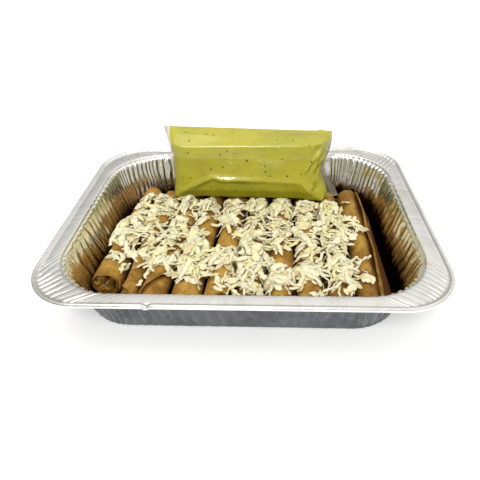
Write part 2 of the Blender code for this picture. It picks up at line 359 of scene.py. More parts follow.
@dataclass(frozen=True)
class TortillaFinish(Finish):
    """Soft baked corn dough, oiled, with toasted patches, dark specks, and a dark red that is partly sauce
    soaking and partly painted shade.
    """

    name: str = "baked tortilla"
    pale: Colour = (0.5, 0.295, 0.058, 1)
    tan: Colour = (0.34, 0.182, 0.03, 1)
    toasted: Colour = (0.17, 0.066, 0.01, 1)
    speck: Colour = (0.09, 0.038, 0.01, 1)
    # Dark red of sauce soaking and painted shade.
    soaked_and_shaded: Colour = (0.1, 0.026, 0.006, 1)

    def dress(self, surface: Surface) -> None:
        """Dresses the dough.

        Args:
            surface: The material's surface.
        """
        colour = surface.mix(surface.mottle(36, 0.44, 0.58, detail=4.0), self.pale, self.tan)
        fibres = surface.mottle(260, 0.42, 0.7, detail=4.0, vector=surface.stretched(1, 0.3, 1))
        colour = surface.layer(colour, fibres, 0.3, self.toasted)
        patches = surface.mottle(52, 0.44, 0.64, detail=6.0, warp=1.6)
        colour = surface.layer(colour, patches, 0.6, self.toasted)
        colour = surface.layer(colour, surface.mottle(430, 0.6, 0.7, detail=2.0), 0.7, self.speck)
        surface.set(
            # Dark red where the mesh carries it: partly sauce soaking, partly painted shade.
            Base_Color=surface.mix(surface.attribute("soak_and_shade"), colour, self.soaked_and_shaded),
            Roughness=surface.spread(surface.mottle(70, 0.4, 0.65), 0, 1, 0.72, 0.5),
            Subsurface_Weight=0.06,
            Subsurface_Radius=(0.6, 0.3, 0.1),
            Subsurface_Scale=0.002,
            Specular_IOR_Level=0.14,
        )
        surface.relief(210, 1100, 0.3, 0.5 * MM, 0.5)


@dataclass(frozen=True)
class FillingFinish(Finish):
    """Moist, lumpy filling in yellow, brown and dark bits."""

    name: str = "roll filling"
    yellow: Colour = (0.5, 0.28, 0.035, 1)
    brown: Colour = (0.27, 0.125, 0.016, 1)
    dark: Colour = (0.05, 0.022, 0.005, 1)

    def dress(self, surface: Surface) -> None:
        """Dresses the filling.

        Args:
            surface: The material's surface.
        """
        colour = surface.mix(surface.mottle(230, 0.42, 0.58, warp=1.0), self.yellow, self.brown)
        surface.set(
            Base_Color=surface.mix(surface.mottle(330, 0.5, 0.6, warp=1.5), colour, self.dark),
            Roughness=surface.spread(surface.mottle(150, 0.4, 0.6), 0, 1, 0.6, 0.32),
        )
        surface.relief(260, 900, 0.35, 0.8 * MM, 0.7)


@dataclass(frozen=True)
class CheeseFinish(Finish):
    """Soft white cheese: each shred has its own tone, from white to pale yellow."""

    name: str = "shredded cheese"
    white: Colour = (0.93, 0.85, 0.56, 1)
    cream: Colour = (0.87, 0.77, 0.38, 1)
    rind: Colour = (0.78, 0.6, 0.36, 1)

    def dress(self, surface: Surface) -> None:
        """Dresses the cheese.

        Args:
            surface: The material's surface.
        """
        tone = surface.attribute("tone")
        colour = surface.mix(surface.spread(tone, 0.3, 0.9, 0.0, 0.9), self.white, self.cream)
        colour = surface.mix(surface.spread(tone, 0.9, 0.97, 0.0, 0.7), colour, self.rind)
        surface.set(
            Base_Color=surface.layer(colour, surface.mottle(300, 0.45, 0.7, detail=4.0), 0.3, self.cream),
            Roughness=surface.spread(surface.mottle(240, 0.35, 0.65), 0, 1, 0.6, 0.42),
            Subsurface_Weight=0.5,
            Subsurface_Radius=(1.0, 0.85, 0.5),
            Subsurface_Scale=0.003,
            Specular_IOR_Level=0.3,
        )
        surface.relief(420, 1500, 0.4, 0.35 * MM, 0.6)


@dataclass(frozen=True)
class SauceFinish(Finish):
    """Smooth green sauce with a fine, slightly darker grain."""

    name: str = "green sauce"
    bright: Colour = (0.51, 0.47, 0.022, 1)
    deep: Colour = (0.3, 0.29, 0.012, 1)

    def dress(self, surface: Surface) -> None:
        """Dresses the sauce.

        Args:
            surface: The material's surface.
        """
        cloud = surface.mottle(34, 0.35, 0.7, detail=4.0)
        colour = surface.layer(self.bright, cloud, 0.45, self.deep)
        surface.set(
            Base_Color=surface.layer(colour, surface.mottle(420, 0.5, 0.72), 0.25, self.deep),
            Roughness=surface.spread(cloud, 0, 1, 0.32, 0.45),
            Subsurface_Weight=0.12,
            Subsurface_Radius=(0.8, 0.8, 0.2),
            Subsurface_Scale=0.003,
        )
        surface.relief(160, 900, 0.3, 0.3 * MM, 0.25)


@dataclass(frozen=True)
class HerbFinish(Finish):
    """Dark green specks of herb and pepper skin."""

    name: str = "herb specks"
    light: Colour = (0.07, 0.08, 0.008, 1)
    dark: Colour = (0.02, 0.024, 0.004, 1)

    def dress(self, surface: Surface) -> None:
        """Dresses the specks.

        Args:
            surface: The material's surface.
        """
        colour = surface.mix(surface.mottle(500, 0.4, 0.6), self.light, self.dark)
        surface.set(Base_Color=colour, Roughness=0.5)
        surface.relief(600, 1500, 0.4, 0.2 * MM, 0.4)


@dataclass(frozen=True)
class FilmFinish(Finish):
    """Clear wrinkled film: its shadow is nearly clear, so that the sauce inside is lit."""

    name: str = "clear film"
    white: Colour = (1, 1, 1, 1)
    tint: Colour = (0.98, 0.985, 0.97, 1)
    hazy: Colour = (0.8, 0.77, 0.68, 1)

    def dress(self, surface: Surface) -> None:
        """Dresses the film.

        Args:
            surface: The material's surface.
        """
        clear_part = surface.mix(surface.mottle(40, 0.4, 0.7), self.white, self.tint)
        haze = surface.attribute("haze")
        smooth = surface.spread(surface.mottle(55, 0.4, 0.7), 0, 1, 0.04, 0.12)
        surface.set(
            Base_Color=surface.mix(haze, clear_part, self.hazy),
            Roughness=surface.math("ADD", smooth, surface.times(haze, 0.3)),
            Transmission_Weight=1.0,
            IOR=1.45,
        )
        surface.relief(110, 420, 0.3, 0.5 * MM, 0.4)
        clear = surface.out("ShaderNodeBsdfTransparent", {"Color": self.tint})
        shadow = surface.add("ShaderNodeLightPath").outputs["Is Shadow Ray"]
        blend = surface.out("ShaderNodeMixShader", {0: shadow, 1: surface.shader.outputs[0], 2: clear})
        surface.feed(surface.tree.nodes["Material Output"].inputs["Surface"], blend)


@dataclass(frozen=True)
class FloorFinish(Finish):
    """A plain pale floor, lit a little from below like a photographer's table."""

    name: str = "pale floor"
    pale: Colour = (0.92, 0.92, 0.91, 1)
    paler: Colour = (0.95, 0.95, 0.94, 1)
    glow: float = 0.3

    def dress(self, surface: Surface) -> None:
        """Dresses the floor.

        Args:
            surface: The material's surface.
        """
        surface.set(
            Base_Color=surface.mix(surface.mottle(3, 0.3, 0.7), self.pale, self.paler),
            Roughness=0.9,
            Specular_IOR_Level=0.1,
            Emission_Color=self.paler,
            Emission_Strength=self.glow,
        )


class Palette:
    """Every finish as a material, built once."""

    def __init__(self) -> None:
        """Builds the shared effects and the materials."""
        effects = SharedEffects()
        self.foil = FoilFinish(
            name="bright foil",
            clean=(0.95, 0.93, 0.89, 1),
            smudged=(0.8, 0.77, 0.71, 1),
            roughness=(0.15, 0.28),
            bumps=0.42,
        ).build(effects)
        # The foil's outer side is a dark copy of the bright foil: painted shade.
        self.outside = FoilFinish(
            name="foil outside in painted shade",
            clean=(0.16, 0.17, 0.185, 1),
            smudged=(0.11, 0.118, 0.127, 1),
            roughness=(0.25, 0.4),
            bumps=0.6,
            painted_shade_share=0.0,
        ).build(effects)
        self.tortilla = TortillaFinish().build(effects)
        self.filling = FillingFinish().build(effects)
        self.cheese = CheeseFinish().build(effects)
        self.sauce = SauceFinish().build(effects)
        self.herb = HerbFinish().build(effects)
        self.film = FilmFinish().build(effects)
        self.floor = FloorFinish().build(effects)


# Mesh helpers


class Ripple:
    """A smooth, repeatable unevenness in space, as a sum of waves."""

    def __init__(self, seed: int, wavelength: float, waves: int = 12) -> None:
        """Draws the waves' directions, lengths and phases.

        Args:
            seed: The draw's seed.
            wavelength: Their middle length.
            waves: How many there are.
        """
        draw = np.random.default_rng(seed)
        direction = draw.normal(size=(waves, 3))
        direction /= np.linalg.norm(direction, axis=1, keepdims=True)
        self.wave = direction * (TAU / (wavelength * draw.uniform(0.6, 1.7, (waves, 1))))
        self.phase = draw.uniform(0, TAU, waves)

    def at(self, points: Array) -> Array:
        """Heights from about -1 to 1 at points, an array whose last axis is x, y, z."""
        total = np.sin(points @ self.wave.T + self.phase).sum(axis=-1)
        return total / math.sqrt(len(self.phase)) / 1.2


def facets(u: Array, v: Array, cells: tuple[int, int], seed: int) -> Array:
    """Crumpled relief: heights that are flat over triangles, with sharp folds between them.

    Args:
        u: First coordinate, from 0 to 1.
        v: Second coordinate, from 0 to 1.
        cells: How many cells there are each way.
        seed: The draw's seed.

    Returns:
        Heights from -1 to 1.
    """
    heights = np.random.default_rng(seed).uniform(-1, 1, (cells[0] + 2, cells[1] + 2))
    a = np.clip(u, 0, 1) * cells[0]
    b = np.clip(v, 0, 1) * cells[1]
    i = np.floor(a).astype(int)
    j = np.floor(b).astype(int)
    s = a - i
    t = b - j
    low = heights[i, j] + s * (heights[i + 1, j] - heights[i, j])
    low = low + t * (heights[i + 1, j + 1] - heights[i + 1, j])
    high = heights[i, j] + t * (heights[i, j + 1] - heights[i, j])
    high = high + s * (heights[i + 1, j + 1] - heights[i, j + 1])
    return np.where(s > t, low, high)


def smooth_step(value: Array | float, low: float, high: float) -> Array:
    """Rises softly from 0 at low to 1 at high."""
    share = np.clip((np.asarray(value, float) - low) / (high - low), 0, 1)
    return share * share * (3 - 2 * share)


def grid_faces(rows: int, columns: int, around: bool = False, start: int = 0) -> list[tuple[int, ...]]:
    """Quads between the points of a grid that is stored row by row.

    Args:
        rows: How many rows of points there are.
        columns: How many points a row has.
        around: Whether the last column joins the first.
        start: The first point's number.

    Returns:
        The faces, facing the side from which rows rise and columns run to the right.
    """
    across = columns if around else columns - 1
    return [
        (
            start + r * columns + c,
            start + r * columns + (c + 1) % columns,
            start + (r + 1) * columns + (c + 1) % columns,
            start + (r + 1) * columns + c,
        )
        for r in range(rows - 1)
        for c in range(across)
    ]


def shell_faces(rows: int, columns: int) -> list[tuple[int, ...]]:
    """The faces of a sheet with two skins, each a grid, that is closed along its four edges.

    Args:
        rows: How many rows of points each skin has.
        columns: How many points a row has.

    Returns:
        The faces; the second skin's points follow the first's.
    """
    count = rows * columns
    outside = grid_faces(rows, columns)
    inside = [tuple(count + index for index in face[::-1]) for face in outside]
    grid = np.arange(count).reshape(rows, columns)
    rim = np.concatenate([grid[0, ::-1], grid[1:, 0], grid[-1, 1:], grid[-2::-1, -1]]).tolist()
    edge = [(a, b, count + b, count + a) for a, b in zip(rim, rim[1:])]
    return outside + inside + edge


def make_object(
    name: str,
    points: Array,
    faces: Sequence[Sequence[int]],
    materials: Sequence[Material],
    values: Mapping[str, Array] | None = None,
    edges: Sequence[tuple[int, int]] = (),
) -> Object:
    """Makes a smooth-shaded mesh object at the origin.

    Args:
        name: The piece's name.
        points: Its points, with x, y and z on the last axis.
        faces: Its faces, as point numbers.
        materials: Its materials, in slot order.
        values: Numbers, or vectors, that its points carry.
        edges: Loose edges.

    Returns:
        The object.
    """
    mesh = bpy.data.meshes.new(name)
    mesh.from_pydata(np.asarray(points, float).reshape(-1, 3).tolist(), list(edges), list(faces))
    for material in materials:
        mesh.materials.append(material)
    for label, value in (values or {}).items():
        kind, key = ("FLOAT_VECTOR", "vector") if value.ndim == 2 else ("FLOAT", "value")
        mesh.attributes.new(label, kind, "POINT").data.foreach_set(key, value.ravel())
    mesh.update()
    if faces:
        mesh.shade_smooth()
    obj = bpy.data.objects.new(name, mesh)
    bpy.context.scene.collection.objects.link(obj)
    return obj


def bake(obj: Object) -> None:
    """Turns an object's modifiers into its own plain mesh.

    Args:
        obj: The object.
    """
    graph = bpy.context.evaluated_depsgraph_get()
    mesh = bpy.data.meshes.new_from_object(obj.evaluated_get(graph))
    obj.modifiers.clear()
    old = obj.data
    obj.data = mesh
    bpy.data.meshes.remove(old)
    mesh.name = obj.name


def thicken(obj: Object, wall: float, inner_material: int = 0) -> None:
    """Gives a skin its wall, inwards from its outside, and keeps the result as its mesh.

    Args:
        obj: The object.
        wall: The wall's thickness.
        inner_material: How many slots further on the inner side's material stands.
    """
    solid = obj.modifiers.new("wall", "SOLIDIFY")
    solid.thickness = wall
    solid.offset = -1
    solid.material_offset = inner_material
    solid.use_quality_normals = inner_material > 0
    bake(obj)


def hand_over(obj: Object, node: str) -> None:
    """Ties a finished piece to the frame.

    Args:
        obj: The piece.
        node: The node that it stands for.
    """
    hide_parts(node)
    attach(obj, BODY)
    LOG.info("%s: %d faces", obj.name, len(obj.data.polygons))


# Geometry Nodes trees


class Recipe(Graph):
    """A Geometry Nodes tree with named inputs that is run once on an object."""

    def __init__(self, name: str, inputs: Mapping[str, float]) -> None:
        """Starts the tree with a geometry input, the named inputs and a material input.

        Args:
            name: The tree's name.
            inputs: Each named input's first number.
        """
        sockets = {"Geometry": "NodeSocketGeometry", **inputs, "Material": "NodeSocketMaterial"}
        outputs = {"Geometry": "NodeSocketGeometry"}
        graph, self.given, self.result = group_tree(name, "GeometryNodeTree", sockets, outputs)
        super().__init__(graph.tree)

    def __getitem__(self, label: str) -> Socket:
        """One of the tree's own inputs."""
        return self.given[label]

    def carried(self, label: str, kind: str = "FLOAT") -> Socket:
        """A value that the mesh carries at each point."""
        return self.out("GeometryNodeInputNamedAttribute", {"Name": label}, data_type=kind)

    def close(self, geometry: Socket) -> None:
        """Ends the tree with real geometry in its material.

        Args:
            geometry: What the tree has made.
        """
        real = self.out("GeometryNodeRealizeInstances", {"Geometry": geometry})
        done = self.out("GeometryNodeSetMaterial", {"Geometry": real, "Material": self["Material"]})
        self.feed(self.result["Geometry"], done)

    def run(self, obj: Object, **values: Any) -> None:
        """Runs the tree on an object and keeps the result as its mesh.

        Args:
            obj: The object.
            values: The inputs, named with underscores for spaces.
        """
        modifier = obj.modifiers.new(self.tree.name, "NODES")
        modifier.node_group = self.tree
        names = {item.name: item.identifier for item in self.tree.interface.items_tree}
        for label, value in values.items():
            modifier[names[label.replace("_", " ")]] = value
        bake(obj)


def pressed_foil_recipe() -> Recipe:
    """Presses flutes, corner folds, rim crimps and small dents into the tray's plain sheet.

    Returns:
        The tree.
    """
    depths = {"Flute Depth": 0.001, "Fold Depth": 0.001, "Dent Depth": 0.0005}
    recipe = Recipe("Pressed foil", {**depths, "Dent Scale": 40.0, "Seed": 1.0})
    flute = recipe.times(recipe.math("SINE", recipe.carried("flute_phase")), recipe.carried("flute_weight"))
    flute = recipe.times(flute, recipe["Flute Depth"])
    fold = recipe.math("ABSOLUTE", recipe.math("SINE", recipe.carried("fold_phase")))
    ridge = recipe.math("SUBTRACT", recipe.times(fold, 2.0), 1.0)
    wall_fold = recipe.times(recipe.times(ridge, recipe.carried("wall_fold")), recipe["Fold Depth"])
    groove = recipe.math("POWER", recipe.math("SUBTRACT", 1.0, fold), 3.0)
    rim_fold = recipe.times(recipe.times(groove, -2.2), recipe.carried("rim_fold"))
    rim_fold = recipe.times(rim_fold, recipe["Fold Depth"])
    place = recipe.out("GeometryNodeInputPosition")
    noise = {"Vector": place, "W": recipe["Seed"], "Scale": recipe["Dent Scale"], "Detail": 3.0}
    dent = recipe.out("ShaderNodeTexNoise", noise, noise_dimensions="4D")
    dent = recipe.times(recipe.math("SUBTRACT", dent, 0.5), recipe.carried("dent_weight"))
    dent = recipe.times(dent, recipe["Dent Depth"])
    reach = recipe.math("ADD", recipe.math("ADD", flute, wall_fold), dent)
    push = {0: recipe.carried("outward", "FLOAT_VECTOR"), "Scale": reach}
    lift = recipe.math("ADD", rim_fold, recipe.times(dent, 0.6))
    moves = {
        0: recipe.out("ShaderNodeVectorMath", push, operation="SCALE"),
        1: recipe.out("ShaderNodeCombineXYZ", {"Z": lift}),
    }
    offset = recipe.out("ShaderNodeVectorMath", moves, operation="ADD")
    recipe.close(recipe.out("GeometryNodeSetPosition", {"Geometry": recipe["Geometry"], "Offset": offset}))
    return recipe


def strip_recipe() -> Recipe:
    """Sweeps a flat rounded strip along each line of the mesh.

    Returns:
        The tree.
    """
    recipe = Recipe("Strip sweep", {"Flatness": 0.4, "Profile Points": 8})
    width = recipe.carried("half_width")
    curve = recipe.out("GeometryNodeMeshToCurve", {"Mesh": recipe["Geometry"]})
    curve = recipe.out("GeometryNodeSetCurveNormal", {"Curve": curve}, mode="Z_UP")
    curve = recipe.out("GeometryNodeSetCurveTilt", {"Curve": curve, "Tilt": recipe.carried("tilt")})
    curve = recipe.out("GeometryNodeSetCurveRadius", {"Curve": curve, "Radius": width})
    ring = {"Resolution": recipe["Profile Points"], "Radius": 1.0}
    circle = recipe.out("GeometryNodeCurvePrimitiveCircle", ring)
    flat = recipe.out("ShaderNodeCombineXYZ", {"X": 1.0, "Y": recipe["Flatness"], "Z": 1.0})
    profile = recipe.out("GeometryNodeTransform", {"Geometry": circle, "Scale": flat})
    sweep = {"Curve": curve, "Profile Curve": profile, "Scale": width, "Fill Caps": True}
    strip = recipe.out("GeometryNodeCurveToMesh", sweep)
    recipe.close(recipe.out("GeometryNodeSetShadeSmooth", {"Geometry": strip, "Shade Smooth": True}))
    return recipe


def scatter_recipe() -> Recipe:
    """Scatters small flattened grains over a surface.

    Returns:
        The tree.
    """
    inputs = {"Density": 1000.0, "Smallest": 0.0003, "Largest": 0.0008, "Flatness": 0.4, "Seed": 1}
    recipe = Recipe("Scattered grains", inputs)
    spots = {"Mesh": recipe["Geometry"], "Density": recipe["Density"], "Seed": recipe["Seed"]}
    points = recipe.add("GeometryNodeDistributePointsOnFaces", spots)
    sizes = {2: recipe["Smallest"], 3: recipe["Largest"], "Seed": recipe["Seed"]}
    size = recipe.add("FunctionNodeRandomValue", sizes, data_type="FLOAT").outputs[1]
    scale = {"X": size, "Y": size, "Z": recipe.times(size, recipe["Flatness"])}
    placed = {
        "Points": points.outputs[0],
        "Instance": recipe.out("GeometryNodeMeshIcoSphere", {"Radius": 1.0, "Subdivisions": 2}),
        "Rotation": points.outputs["Rotation"],
        "Scale": recipe.out("ShaderNodeCombineXYZ", scale),
    }
    recipe.close(recipe.out("GeometryNodeInstanceOnPoints", placed))
    return recipe


# The foil tray


@dataclass(frozen=True)
class TrayRow:
    """One row of the tray's profile, in millimetres, and how much of each pressing it takes."""

    inset: float
    corner: float
    height: float
    flute: float = 0.0
    wall_fold: float = 0.0
    rim_fold: float = 0.0
    dent: float = 0.5


@dataclass
class FoilTray:
    """The pressed foil tray: floor, foot, fluted wall, ledge, flange and rolled bead.

    The profile's own measures (floor level, ledge, flange, bead and the painted shade's height) are in
    millimetres. The nick is a place along the front, its reach and its depth.
    """

    length: float = 324 * MM
    width: float = 264 * MM
    rim: float = 50 * MM
    sheet: float = 0.7 * MM
    floor_level: float = 0.8
    floor_shares: tuple[float, ...] = (0.35, 0.7, 0.92)
    ledge: tuple[tuple[float, float, float], ...] = (
        (17.3, 47.5, 0.5), (16.0, 47.9, 0.35), (15.7, 48.6, 0.25), (15.5, 49.6, 0.2),
    )
    flange: Pairs = (
        (15.1, 50.0), (14.0, 50.15), (12, 50.3), (10, 50.35), (8, 50.3), (6.2, 50.2), (4.9, 50.1),
    )
    bead_radius: float = 1.9
    bead_inset: float = 2.1
    long_columns: int = 152
    short_columns: int = 104
    corner_columns: int = 104
    flute_pitch: float = 9.4 * MM
    flute_depth: float = 1.15 * MM
    flute_range: tuple[float, float] = (0.65, 1.45)
    strength_range: tuple[float, float] = (0.35, 1.35)
    fold_pitch: float = 4.6 * MM
    fold_depth: float = 1.6 * MM
    fold_range: tuple[float, float] = (0.5, 1.7)
    dent_depth: float = 1.4 * MM
    dent_scale: float = 42.0
    crinkle: float = 24 * MM
    crinkle_shares: tuple[float, float] = (1.1, 0.7)
    corner_dent: float = 2.6
    # How high the painted shade and reflection reach up the wall, in millimetres, higher on the right and lower
    # on the left.
    painted_shade_top: float = 23
    painted_shade_right: float = 5
    painted_shade_left: float = -13
    nick: tuple[float, float, float] = (-63.3 * MM, 1.8 * MM, 1.8 * MM)
    seed: int = 7

    def rows(self) -> list[TrayRow]:
        """The profile's rows, from the floor's edge out to the end of the curled bead.

        Returns:
            The rows in order.
        """
        rows = []
        for t in np.linspace(0, 1, 5):
            turn = t * math.pi / 2
            inset = 33 - 3 * math.sin(turn)
            height = self.floor_level + 3.7 * (1 - math.cos(turn))
            rows.append(TrayRow(inset, 40 + 4 * t, height, 0.25 * t, 0.3 * t))
        for t in np.linspace(0, 1, 15)[1:]:
            weight = float(smooth_step(t, -0.1, 0.35))
            flute = weight * (1 - 0.35 * t)
            fold = weight * (1 - 0.3 * t)
            rows.append(TrayRow(30 - 12.2 * t, 44 + 9 * t, 4.5 + 42.4 * t, flute, fold))
        for inset, height, share in self.ledge:
            rows.append(TrayRow(inset, 52.6, height, share * 0.8, share, 0.02))
        for inset, height in self.flange:
            t = (15.1 - inset) / 10.2
            rows.append(TrayRow(inset, 51 - 8 * t, height, 0.0, 0.0, 0.12 + 0.16 * t, 1.0))
        for turn in np.radians(np.linspace(22, 305, 14)):
            inset = self.bead_inset + self.bead_radius * math.cos(turn)
            height = 50 + self.bead_radius * math.sin(turn)
            fade = float(1 - smooth_step(math.degrees(turn), 20, 110))
            rows.append(TrayRow(inset, 46 - inset, height, 0.0, 0.0, 0.13 * fade, 0.25))
        return rows

    def outline(self, inset: float, corner: float) -> tuple[Array, Array]:
        """Points and outward directions round the tray.

        Args:
            inset: Distance inwards from the rim.
            corner: The corners' radius.

        Returns:
            The points and the directions, one row for each column of the mesh.
        """
        half_x = self.length / 2 - inset - corner
        half_y = self.width / 2 - inset - corner
        centres = [(half_x, half_y), (-half_x, half_y), (-half_x, -half_y), (half_x, -half_y)]
        points = []
        directions = []
        for quarter, centre in enumerate(centres):
            turn = np.radians(90 * (quarter + np.arange(self.corner_columns) / self.corner_columns))
            arc = np.stack([np.cos(turn), np.sin(turn)], axis=1)
            points.append(np.array(centre) + corner * arc)
            directions.append(arc)
            end = math.radians(90 * (quarter + 1))
            direction = np.array([math.cos(end), math.sin(end)])
            columns = self.long_columns if quarter % 2 == 0 else self.short_columns
            share = (np.arange(columns) / columns)[:, None]
            first = np.array(centre) + corner * direction
            last = np.array(centres[(quarter + 1) % 4]) + corner * direction
            points.append(first + (last - first) * share)
            directions.append(np.repeat(direction[None], columns, axis=0))
        return np.concatenate(points), np.concatenate(directions)

    def phases(self) -> tuple[Array, Array, Array]:
        """How the flutes and the corners' folds follow the wall's outline.

        Returns:
            The flutes' phase, the folds' phase and the share of corner, one value a column.
        """
        points, _ = self.outline(22 * MM, 46 * MM)
        step = np.linalg.norm(np.roll(points, -1, axis=0) - points, axis=1)
        draw = np.random.default_rng(self.seed)
        along = np.cumsum(step)
        knots = np.linspace(0, along[-1], 90)
        pitch = np.interp(along, knots, draw.uniform(*self.flute_range, len(knots))) * self.flute_pitch
        fold = np.interp(along, knots, draw.uniform(*self.fold_range, len(knots))) * self.fold_pitch
        count = self.corner_columns
        corner = np.zeros(len(points))
        start = 0
        for columns in (self.long_columns, self.short_columns) * 2:
            share = np.arange(count) / count
            corner[start : start + count] = smooth_step(np.minimum(share, 1 - share), -0.06, 0.16)
            start += count + columns
        return np.cumsum(step / pitch) * TAU, np.cumsum(step / fold) * math.pi, corner

    def painted_shade(self, cloud: Array) -> Array:
        """How much painted shade and painted reflection of the food the sheet carries: most on the floor, and
        higher up the right wall.

        Args:
            cloud: The sheet's points.

        Returns:
            A share from 0 to 1 for each point.
        """
        to_right = smooth_step(cloud[:, 0], 60 * MM, 130 * MM)
        to_left = smooth_step(-cloud[:, 0], 100 * MM, 135 * MM)
        top = (self.painted_shade_top + self.painted_shade_right * to_right + self.painted_shade_left * to_left) * MM
        return 1 - smooth_step(cloud[:, 2] / top, 0.25, 1.0)

    def sheet_values(self) -> tuple[Array, dict[str, Array]]:
        """Lays out the plain sheet, with the nick in its front bead.

        Returns:
            Its points, and the numbers that tell the tree how to press it.
        """
        flute_phase, fold_phase, corner = self.phases()
        draw = np.random.default_rng(self.seed + 1)
        knots = np.linspace(0, flute_phase[-1], 70)
        strength = np.interp(flute_phase, knots, draw.uniform(*self.strength_range, len(knots)))
        floor = TrayRow(33, 40, self.floor_level, dent=0.2)
        layers = [(share, floor) for share in self.floor_shares] + [(1.0, row) for row in self.rows()]
        rings = []
        pressings = []
        for share, row in layers:
            ring, directions = self.outline(row.inset * MM, row.corner * MM)
            level = np.full(len(ring), row.height * MM)
            rings.append(np.column_stack([ring * share, level]))
            flute = row.flute * (1 - 0.7 * corner) * strength
            wall_fold = row.wall_fold * corner * strength
            rim_fold = row.rim_fold * (0.8 * corner + 0.2) * strength
            dent = row.dent * (1 + self.corner_dent * corner * (row.flute > 0))
            pressings.append(np.column_stack([flute, wall_fold, rim_fold, dent, directions]))
        cloud = np.concatenate(rings)
        table = np.concatenate(pressings)
        carried = dict(zip(("flute_weight", "wall_fold", "rim_fold", "dent_weight"), table.T))
        carried["outward"] = np.column_stack([table[:, 4:], np.zeros(len(table))])
        # The share of painted shade and reflection that darkens the foil.
        carried["painted_shade"] = self.painted_shade(cloud)
        nick_x, nick_reach, nick_depth = self.nick
        near = np.exp(-(((cloud[:, 0] - nick_x) / nick_reach) ** 2))
        at_bead = (cloud[:, 1] < -self.width / 2 + 4 * MM) & (cloud[:, 2] > self.rim - 1 * MM)
        cloud[:, 2] -= near * at_bead * nick_depth
        crinkle = Ripple(self.seed + 2, self.crinkle, 14).at(cloud)
        carried["flute_phase"] = np.tile(flute_phase, len(rings)) + self.crinkle_shares[0] * crinkle
        carried["fold_phase"] = np.tile(fold_phase, len(rings)) + self.crinkle_shares[1] * crinkle
        return cloud, carried

    def build(self, palette: Palette, recipe: Recipe) -> None:
        """Builds the plain sheet, presses it, gives it its thickness and hands it over.

        Args:
            palette: The finishes.
            recipe: The tree that presses the sheet.
        """
        cloud, carried = self.sheet_values()
        centre = len(cloud)
        columns = 4 * self.corner_columns + 2 * (self.long_columns + self.short_columns)
        cloud = np.vstack([cloud, [0, 0, self.floor_level * MM]])
        carried = {
            label: np.concatenate([value, np.zeros_like(value[:1])]) for label, value in carried.items()
        }
        faces = [face[::-1] for face in grid_faces(centre // columns, columns, around=True)]
        faces += [(centre, c, (c + 1) % columns) for c in range(columns)]
        tray = make_object("foil_tray", cloud, faces, (), carried)
        recipe.run(
            tray,
            Flute_Depth=self.flute_depth,
            Fold_Depth=self.fold_depth,
            Dent_Depth=self.dent_depth,
            Dent_Scale=self.dent_scale,
            Seed=3.0,
            Material=palette.foil,
        )
        # The outer side takes the dark copy of the foil, painted shade.
        tray.data.materials.append(palette.outside)
        thicken(tray, self.sheet, inner_material=1)
        hand_over(tray, "tray")


# The rolled tortillas


